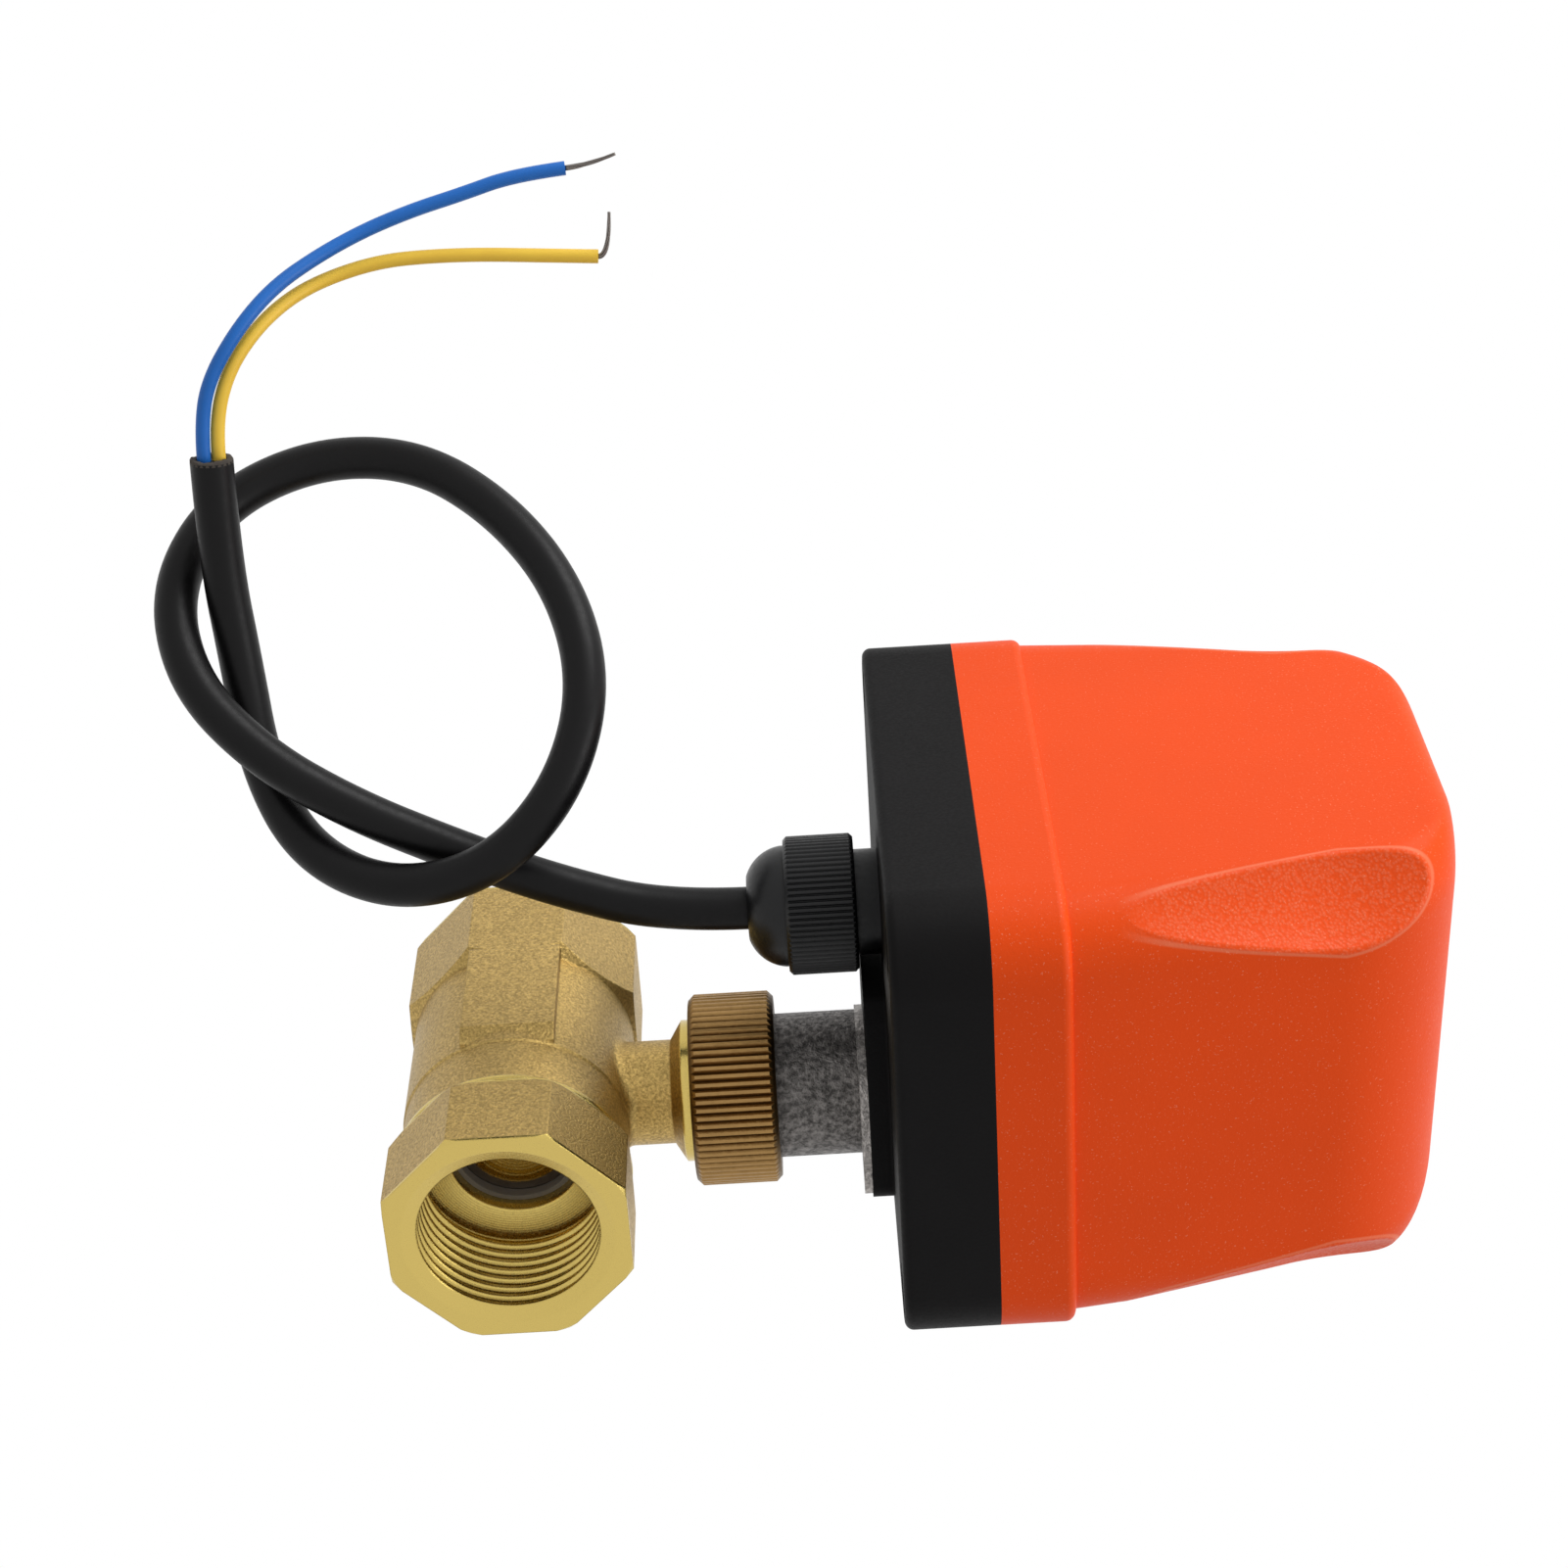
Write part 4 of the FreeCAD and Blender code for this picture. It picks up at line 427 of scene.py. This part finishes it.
def valve_brass(name, settings):
    """Bead-blasted cast brass, bright where it is turned: ports, end faces, collar and rim."""
    cast, machined = tuple(settings.cast_colour), tuple(settings.machined_colour)
    material, tree, shader = finish_named(name, cast, 0.42, metallic=1.0)
    place = object_place(tree)
    x, y, z = axes(tree, place)
    radius = radius_of(tree, y, z)
    turned = any_of(tree,
                    calculated(tree, "LESS_THAN", radius, PORT_TURNED_R),
                    calculated(tree, "LESS_THAN", x, NEAR_FACE_X),
                    calculated(tree, "GREATER_THAN", x, FAR_FACE_X),
                    calculated(tree, "COMPARE", z, COLLAR_Z, COLLAR_HALF),
                    calculated(tree, "COMPARE", x, RIM_X, RIM_HALF))
    grit = noise(tree, place, 0.00036, 4.0, 0.62)
    cloud = noise(tree, place, 0.009, 3.0)
    tint = mixed(tree, spread(tree, grit, 0.35, 0.68), shaded(cast, 0.66), shaded(cast, 1.42))
    tint = mixed(tree, spread(tree, cloud, 0.35, 0.75, 0.0, 0.25), tint, shaded(cast, 0.78))
    gloss = calculated(tree, "ADD", spread(tree, grit, 0.3, 0.7, 0.50, 0.36),
                       calculated(tree, "MULTIPLY", turned, -0.20))
    across = calculated(tree, "MULTIPLY", radius, 2 * math.pi / TOOL_RING_PITCH)
    rings = calculated(tree, "MULTIPLY", calculated(tree, "SINE", across), 0.012)
    height = calculated(
        tree, "ADD",
        calculated(tree, "MULTIPLY", grit, calculated(tree, "SUBTRACT", 1.0, turned)),
        calculated(tree, "MULTIPLY", rings, turned))
    give(tree, shader, mixed(tree, turned, tint, machined),
         bump(tree, height, 0.00013, below=eased_edges(tree, 0.0004)), gloss)
    return material


def knurled_bronze(name, settings):
    """Dull nut metal, with painted shade in the grooves of its knurl and a painted highlight in a
    cloudy, random tone on the crests.
    """
    base = tuple(settings.nut_colour)
    material, tree, shader = finish_named(name, base, 0.42, metallic=1.0)
    place = object_place(tree)
    x, y, _ = axes(tree, place)
    radius = radius_of(tree, calculated(tree, "SUBTRACT", x, STEM_X), y)
    # 0 in the knurl's grooves, which get painted shade, and 1 on its crests, which get a painted
    # highlight.
    knurl_light_share = spread(tree, radius, KNURL_ROOT_R, KNURL_CREST_R)
    # The crests' colour is lighter in a cloudy, random tone: a painted highlight.
    knurl_crest_highlight = mixed(tree, noise(tree, place, 0.004, 3.0), shaded(base, 0.95), shaded(base, 1.45))
    grit = noise(tree, place, 0.0005, 3.0, 0.6)
    give(tree, shader, mixed(tree, knurl_light_share, shaded(base, 0.45), knurl_crest_highlight),
         bump(tree, grit, 0.00005), spread(tree, grit, 0.3, 0.7, 0.34, 0.50))
    return material


def cast_grey(name, settings):
    """Raw cast neck, coarse and slightly glittering, with painted light on its foot."""
    base = tuple(settings.neck_colour)
    material, tree, shader = finish_named(name, base, 0.5, metallic=1.0)
    place = object_place(tree)
    grit = noise(tree, place, 0.0009, 4.0, 0.7)
    speckle = spread(tree, grit, 0.38, 0.64)
    # Above this height the neck's foot is painted much lighter: painted light.
    lit_foot = calculated(tree, "GREATER_THAN", axes(tree, place)[2], NECK_LIT_FOOT_Z)
    tint = mixed(tree, lit_foot,
                 mixed(tree, speckle, shaded(base, 0.5), shaded(base, 1.45)),
                 mixed(tree, speckle, shaded(base, 1.6), shaded(base, 3.4)))
    give(tree, shader, tint, bump(tree, grit, 0.00028),
         spread(tree, grit, 0.3, 0.7, 0.58, 0.38))
    return material


def board_green(name):
    """Solder mask, paler where the copper runs under it."""
    base = (0.012, 0.11, 0.042)
    material, tree, shader = finish_named(name, base, 0.35)
    tracks = put(tree, "ShaderNodeTexBrick", Scale=190.0, offset=0.35)
    tracks.inputs["Mortar Size"].default_value = 0.05
    tree.links.new(object_place(tree), tracks.inputs["Vector"])
    copper = tracks.outputs["Fac"]
    give(tree, shader, mixed(tree, copper, base, (0.03, 0.20, 0.075)),
         bump(tree, copper, 0.00003))
    return material


def dress(material, *names):
    """Gives a finish to some CAD nodes."""
    for name in names:
        slots = NODES[name].data.materials
        slots.clear()
        slots.append(material)


# Mesh pieces


def spline_curve(name, route):
    """A smooth curve with a route's points as its control points."""
    curve = bpy.data.curves.new(name, "CURVE")
    curve.dimensions = "3D"
    spline = curve.splines.new("NURBS")
    points = in_metres(route)
    spline.points.add(len(points) - 1)
    for point, place in zip(spline.points, points):
        point.co = (*place, 1.0)
    spline.order_u = 3
    spline.use_endpoint_u = True
    curve.resolution_u = CURVE_STEPS
    return curve


def centreline(route):
    """Points read along the smooth spline through a route's control points."""
    curve = spline_curve("centreline", route)
    plain = bpy.data.objects.new("centreline", curve)
    bpy.context.scene.collection.objects.link(plain)
    bpy.context.view_layer.update()
    view = bpy.context.evaluated_depsgraph_get()
    mesh = bpy.data.meshes.new_from_object(plain.evaluated_get(view))
    points = [vertex.co.copy() for vertex in mesh.vertices]
    bpy.data.objects.remove(plain)
    bpy.data.meshes.remove(mesh)
    bpy.data.curves.remove(curve)
    return points


def tube(name, route, diameter, material):
    """A smooth round tube along a route."""
    curve = spline_curve(name, route)
    curve.bevel_depth = diameter / 2
    curve.bevel_resolution = TUBE_ROUNDNESS
    curve.use_fill_caps = True
    curve.materials.append(material)
    piece = bpy.data.objects.new(name, curve)
    bpy.context.scene.collection.objects.link(piece)
    return piece


def mesh_piece(name, shape, material, smooth=True):
    """An object with a built shape as its mesh."""
    mesh = bpy.data.meshes.new(name)
    shape.to_mesh(mesh)
    shape.free()
    for face in mesh.polygons:
        face.use_smooth = smooth
    mesh.materials.append(material)
    piece = bpy.data.objects.new(name, mesh)
    bpy.context.scene.collection.objects.link(piece)
    return piece


def frames_along(points):
    """Each point of a line with a steady pair of directions to its sides."""
    frames = []
    side = None
    for index, here in enumerate(points):
        ahead = points[min(index + 1, len(points) - 1)] - points[max(index - 1, 0)]
        ahead.normalize()
        if side is None:
            side = ahead.orthogonal()
        side = (side - ahead * side.dot(ahead)).normalized()
        frames.append((here, side, ahead.cross(side)))
    return frames


def around(side, other, turns):
    """The direction that many turns round a line."""
    angle = 2 * math.pi * turns
    return side * math.cos(angle) + other * math.sin(angle)


def join_loops(shape, loops):
    """Faces between each closed loop of points and the next."""
    for first, second in zip(loops, loops[1:]):
        for step in range(len(first)):
            after = (step + 1) % len(first)
            shape.faces.new((first[step], first[after], second[after], second[step]))


def add_tube(shape, points, radius, taper):
    """A closed round tube along a line of points, which narrows towards its end."""
    loops = []
    for index, (here, side, other) in enumerate(frames_along(points)):
        here_radius = radius * (1 - taper * index / (len(points) - 1))
        loop = [here + around(side, other, step / STRAND_SIDES) * here_radius
                for step in range(STRAND_SIDES)]
        loops.append([shape.verts.new(place) for place in loop])
    join_loops(shape, loops)
    shape.faces.new(list(reversed(loops[0])))
    shape.faces.new(loops[-1])


def twisted_strands(name, route, settings, material):
    """Seven fine wires, six laid round one."""
    points = centreline(route)
    radius = settings.strand_diameter / 2
    shape = bmesh.new()
    add_tube(shape, points, radius, settings.strand_taper)
    frames = frames_along(points)
    walked = [0.0]
    for before, after in zip(points, points[1:]):
        walked.append(walked[-1] + (after - before).length)
    for strand in range(OUTER_STRANDS):
        line = []
        for (here, side, other), distance in zip(frames, walked):
            turns = strand / OUTER_STRANDS + distance * 100 * settings.strand_twist
            lay = 2 * radius * (1 - settings.strand_taper * distance / walked[-1])
            line.append(here + around(side, other, turns) * lay)
        add_tube(shape, line, radius * OUTER_STRAND_SHARE, settings.strand_taper)
    return mesh_piece(name, shape, material)


# Operators


class BALLVALVE_OT_stage(Operator):
    """Build the floor, the lamps, the world and the camera"""
    bl_idname = "ballvalve.stage"
    bl_label = "Stage"

    def execute(self, context):
        scene = context.scene
        settings = scene.ballvalve_stage
        scene.view_settings.view_transform = "Standard"
        self.build_camera(scene, settings)
        self.build_floor(settings)
        self.build_world(scene, settings)
        self.build_lamp(scene, "Key", settings.key_power, KEY_SIZE, KEY_PLACE)
        self.build_lamp(scene, "Fill", settings.fill_power, FILL_SIZE, FILL_PLACE)
        return {"FINISHED"}

    def build_camera(self, scene, settings):
        camera = bpy.data.objects.new("Camera", bpy.data.cameras.new("Camera"))
        camera.data.lens = settings.lens
        camera.data.sensor_width = 36.0
        camera.data.clip_start = 0.01
        camera.data.clip_end = 20.0
        turn = Matrix((CAMERA_RIGHT, CAMERA_UP, CAMERA_BACK)).transposed().to_4x4()
        camera.matrix_world = Matrix.Translation(CAMERA_PLACE) @ turn
        scene.collection.objects.link(camera)
        scene.camera = camera

    def build_floor(self, settings):
        shape = bmesh.new()
        bmesh.ops.create_grid(shape, x_segments=1, y_segments=1, size=6.0)
        material, tree, shader = finish_named("Pale floor", (0.80, 0.80, 0.80), 0.9)
        white = put(tree, "ShaderNodeEmission", Color=WHITE, Strength=1.0)
        whiten_background(tree, shader, white, "Material Output")
        floor = mesh_piece("floor", shape, material, smooth=False)
        floor.location.z = settings.floor_height

    def build_world(self, scene, settings):
        world = bpy.data.worlds.new("Studio")
        world.use_nodes = True
        tree = world.node_tree
        light = tree.nodes["Background"]
        light.inputs["Color"].default_value = WHITE
        light.inputs["Strength"].default_value = settings.world_light
        white = put(tree, "ShaderNodeBackground", Color=WHITE, Strength=1.0)
        whiten_background(tree, light, white, "World Output")
        scene.world = world

    def build_lamp(self, scene, name, power, size, place):
        lamp = bpy.data.objects.new(name, bpy.data.lights.new(name, "AREA"))
        lamp.data.energy = power
        lamp.data.size = size
        lamp.location = place
        aim = Vector(LAMP_AIM) - Vector(place)
        lamp.rotation_euler = aim.to_track_quat("-Z", "Y").to_euler()
        scene.collection.objects.link(lamp)


class BALLVALVE_OT_cable(Operator):
    """Lay the cable, its two wires and their stripped strands"""
    bl_idname = "ballvalve.cable"
    bl_label = "Cable"

    def execute(self, context):
        settings = context.scene.ballvalve_cable
        finish = extruded_plastic("Cable jacket", tuple(settings.jacket_colour), 0.40, 0.16)
        jacket = tube("jacket", JACKET_ROUTE, settings.jacket_diameter, finish)
        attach(jacket, FIXED_BODY)
        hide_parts("cable_jacket")
        sheath = self.cut_sheath(settings)
        tinned = worked_metal("Tinned strands", tuple(settings.strand_colour), 0.40)
        blue = self.wire("blue", BLUE_ROUTE, BLUE_LENGTH, BLUE_STRANDS, settings, tinned)
        yellow = self.wire("yellow", YELLOW_ROUTE, YELLOW_LENGTH, YELLOW_STRANDS, settings, tinned)
        dress(finish, "cable_tail")
        return {"FINISHED"}

    def cut_sheath(self, settings):
        """The jacket's knife-cut end, a slightly uneven ring round the two wires."""
        points = centreline(JACKET_ROUTE)
        end, side, other = frames_along(points)[-1]
        ahead = (points[-1] - points[-2]).normalized()
        outer = settings.jacket_diameter / 2
        inner = outer - settings.sheath_thickness
        crest_rise = 0.0002
        profile = ((outer * 0.995, -0.00030), (outer * 0.99, 0.00022), (outer * 0.965, 0.00034),
                   (inner * 1.04, 0.00032), (inner, 0.00016), (inner * 0.99, -0.00030))
        shape = bmesh.new()
        loops = []
        for radius, rise in profile:
            loop = []
            for step in range(CUT_SIDES):
                angle = 2 * math.pi * step / CUT_SIDES
                uneven = 0.00010 * math.sin(3 * angle) + 0.00005 * math.sin(11 * angle + 1.0)
                lift = rise + (uneven if rise > crest_rise else 0.0)
                out = around(side, other, step / CUT_SIDES)
                loop.append(shape.verts.new(end + out * radius + ahead * lift))
            loops.append(loop)
        join_loops(shape, loops)
        bmesh.ops.recalc_face_normals(shape, faces=shape.faces)
        finish = moulded_plastic("Cut sheath", tuple(settings.cut_colour), 0.75, grain=0.0003,
                                 depth=0.00006, tone=0.3, specular=0.2)
        piece = mesh_piece("cut_sheath", shape, finish)
        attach(piece, FIXED_BODY)
        return piece

    def wire(self, name, route, wire_length, strand_route, settings, tinned):
        """One insulated wire with its stripped strands."""
        insulation = tuple(getattr(settings, name + "_colour"))
        finish = extruded_plastic(name.title() + " insulation", insulation, 0.42, 0.35)
        wire = tube(name + "_insulation", route, settings.wire_diameter, finish)
        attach(wire, FIXED_BODY)
        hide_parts(name + "_wire")
        strands = twisted_strands(name + "_core", strand_route, settings, tinned)
        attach(strands, FIXED_BODY)
        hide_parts(name + "_strands")
        dress(finish, "inner_" + name + "_lead")
        return wire


class BALLVALVE_OT_housing(Operator):
    """Finish the cover, the base and what joins them"""
    bl_idname = "ballvalve.housing"
    bl_label = "Housing"

    def execute(self, context):
        settings = context.scene.ballvalve_housing
        dress(cover_plastic("Orange cover", settings), "cover")
        dress(moulded_plastic("Black base", tuple(settings.base_colour), 0.55,
                              grain=settings.grain_size, depth=settings.grain_depth, tone=0.1,
                              specular=0.08, edge_radius=settings.edge_radius),
              "base_housing")
        dress(moulded_plastic("Gasket rubber", (0.01, 0.01, 0.01), 0.7), "housing_gasket")
        dress(worked_metal("Screw zinc", (0.55, 0.55, 0.53), 0.35), "cover_screws")
        return {"FINISHED"}


class BALLVALVE_OT_valve(Operator):
    """Finish the brass valve, its ball, seats and stem"""
    bl_idname = "ballvalve.valve"
    bl_label = "Valve"

    def execute(self, context):
        settings = context.scene.ballvalve_valve
        dress(valve_brass("Valve brass", settings), "valve_body", "end_connector")
        # Darker, warmer plating: painted shade and painted reflection of the brass.
        dress(worked_metal("Ball plating", tuple(settings.ball_shade_and_reflection_colour), 0.10, grain=0.0003,
                           depth=0.000002),
              "ball")
        dress(worked_metal("Stem steel", (0.55, 0.54, 0.52), 0.28), "valve_stem")
        # Seats and washer darkened in colour: painted shade.
        dress(moulded_plastic("Ball ring plastic", tuple(settings.shaded_seat_colour), 0.4,
                              grain=0.0005, depth=0.00001),
              "inlet_seat", "outlet_seat", "stem_thrust_washer")
        dress(moulded_plastic("Seal rubber", (0.012, 0.012, 0.012), 0.6, grain=0.0004,
                              depth=0.00001),
              "connector_seal", "stem_o_rings")
        return {"FINISHED"}


class BALLVALVE_OT_union(Operator):
    """Finish the union nut, the neck and the shaft inside it"""
    bl_idname = "ballvalve.union"
    bl_label = "Union"

    def execute(self, context):
        settings = context.scene.ballvalve_valve
        dress(knurled_bronze("Union nut bronze", settings), "coupling_nut")
        dress(cast_grey("Neck casting", settings), "adapter_neck")
        dress(worked_metal("Spring steel", (0.40, 0.39, 0.38), 0.3),
              "nut_retaining_clip", "neck_screws", "drive_shaft")
        dress(worked_metal("Bearing bronze", (0.45, 0.27, 0.10), 0.35), "shaft_bushes")
        return {"FINISHED"}


class BALLVALVE_OT_gland(Operator):
    """Finish the cable gland"""
    bl_idname = "ballvalve.gland"
    bl_label = "Gland"

    def execute(self, context):
        dress(moulded_plastic("Gland nylon", (0.0045, 0.0047, 0.0055), 0.34, grain=0.0006,
                              depth=0.000015, tone=0.1, specular=0.30),
              "gland_nut", "gland_body", "gland_lock_nut")
        dress(moulded_plastic("Gland rubber", (0.012, 0.012, 0.012), 0.65), "gland_seal")
        return {"FINISHED"}


class BALLVALVE_OT_drive(Operator):
    """Finish the gears, plates, motor and switches"""
    bl_idname = "ballvalve.drive"
    bl_label = "Drive"

    def execute(self, context):
        dress(worked_metal("Plate zinc", (0.58, 0.58, 0.56), 0.34),
              "lower_gear_plate", "upper_gear_plate", "plate_posts", "gear_pins",
              "motor_screws", "closed_switch_lever", "open_switch_lever")
        dress(moulded_plastic("Gear plastic", (0.72, 0.70, 0.60), 0.42, grain=0.0004,
                              depth=0.00001),
              "output_gear", "slow_idler_gear", "fast_idler_gear", "switch_cam")
        dress(worked_metal("Pinion brass", (0.60, 0.42, 0.15), 0.28), "motor_pinion")
        dress(worked_metal("Motor can", (0.46, 0.46, 0.45), 0.30, grain=0.0006), "motor_body")
        dress(moulded_plastic("Switch case", (0.02, 0.02, 0.022), 0.45),
              "closed_switch", "open_switch")
        dress(extruded_plastic("Lead insulation", (0.02, 0.02, 0.02), 0.4),
              "switch_leads", "motor_leads")
        return {"FINISHED"}


class BALLVALVE_OT_board(Operator):
    """Finish the control board and what is on it"""
    bl_idname = "ballvalve.board"
    bl_label = "Board"

    def execute(self, context):
        dress(board_green("Board mask"), "control_board")
        dress(worked_metal("Post brass", (0.60, 0.43, 0.18), 0.3), "board_posts")
        dress(worked_metal("Board screw zinc", (0.56, 0.56, 0.54), 0.32), "board_screws")
        dress(moulded_plastic("Capacitor sleeve", (0.012, 0.015, 0.05), 0.25, grain=0.001,
                              depth=0.000004),
              "storage_capacitors", "rectifier_diodes")
        dress(moulded_plastic("Relay case", (0.02, 0.07, 0.26), 0.25, grain=0.001,
                              depth=0.000005),
              "control_relay")
        dress(moulded_plastic("Terminal plastic", (0.02, 0.16, 0.06), 0.4), "terminal_block")
        return {"FINISHED"}


SETTINGS = {
    "ballvalve_stage": StageSettings,
    "ballvalve_cable": CableSettings,
    "ballvalve_housing": HousingSettings,
    "ballvalve_valve": ValveSettings,
}
OPERATORS = (
    BALLVALVE_OT_stage, BALLVALVE_OT_cable, BALLVALVE_OT_housing, BALLVALVE_OT_valve,
    BALLVALVE_OT_union, BALLVALVE_OT_gland, BALLVALVE_OT_drive, BALLVALVE_OT_board)


class BALLVALVE_PT_panel(Panel):
    """Buttons and settings of the motorized ball valve"""
    bl_label = "Motorized Ball Valve"
    bl_idname = "BALLVALVE_PT_panel"
    bl_space_type = "VIEW_3D"
    bl_region_type = "UI"
    bl_category = "Ball Valve"

    def draw(self, context):
        column = self.layout.column(align=True)
        for operator in OPERATORS:
            column.operator(operator.bl_idname)
        for name, group in SETTINGS.items():
            settings = getattr(context.scene, name)
            box = self.layout.box()
            for key in group.__annotations__:
                box.prop(settings, key)


def register():
    for name, group in SETTINGS.items():
        bpy.utils.register_class(group)
        setattr(bpy.types.Scene, name, PointerProperty(type=group))
    for operator in OPERATORS:
        bpy.utils.register_class(operator)
    bpy.utils.register_class(BALLVALVE_PT_panel)


def unregister():
    bpy.utils.unregister_class(BALLVALVE_PT_panel)
    for operator in reversed(OPERATORS):
        bpy.utils.unregister_class(operator)
    for name, group in reversed(SETTINGS.items()):
        delattr(bpy.types.Scene, name)
        bpy.utils.unregister_class(group)


def main():
    register()
    bpy.ops.ballvalve.stage()
    bpy.ops.ballvalve.cable()
    bpy.ops.ballvalve.housing()
    bpy.ops.ballvalve.valve()
    bpy.ops.ballvalve.union()
    bpy.ops.ballvalve.gland()
    bpy.ops.ballvalve.drive()
    bpy.ops.ballvalve.board()


if __name__ == "__main__":
    main()
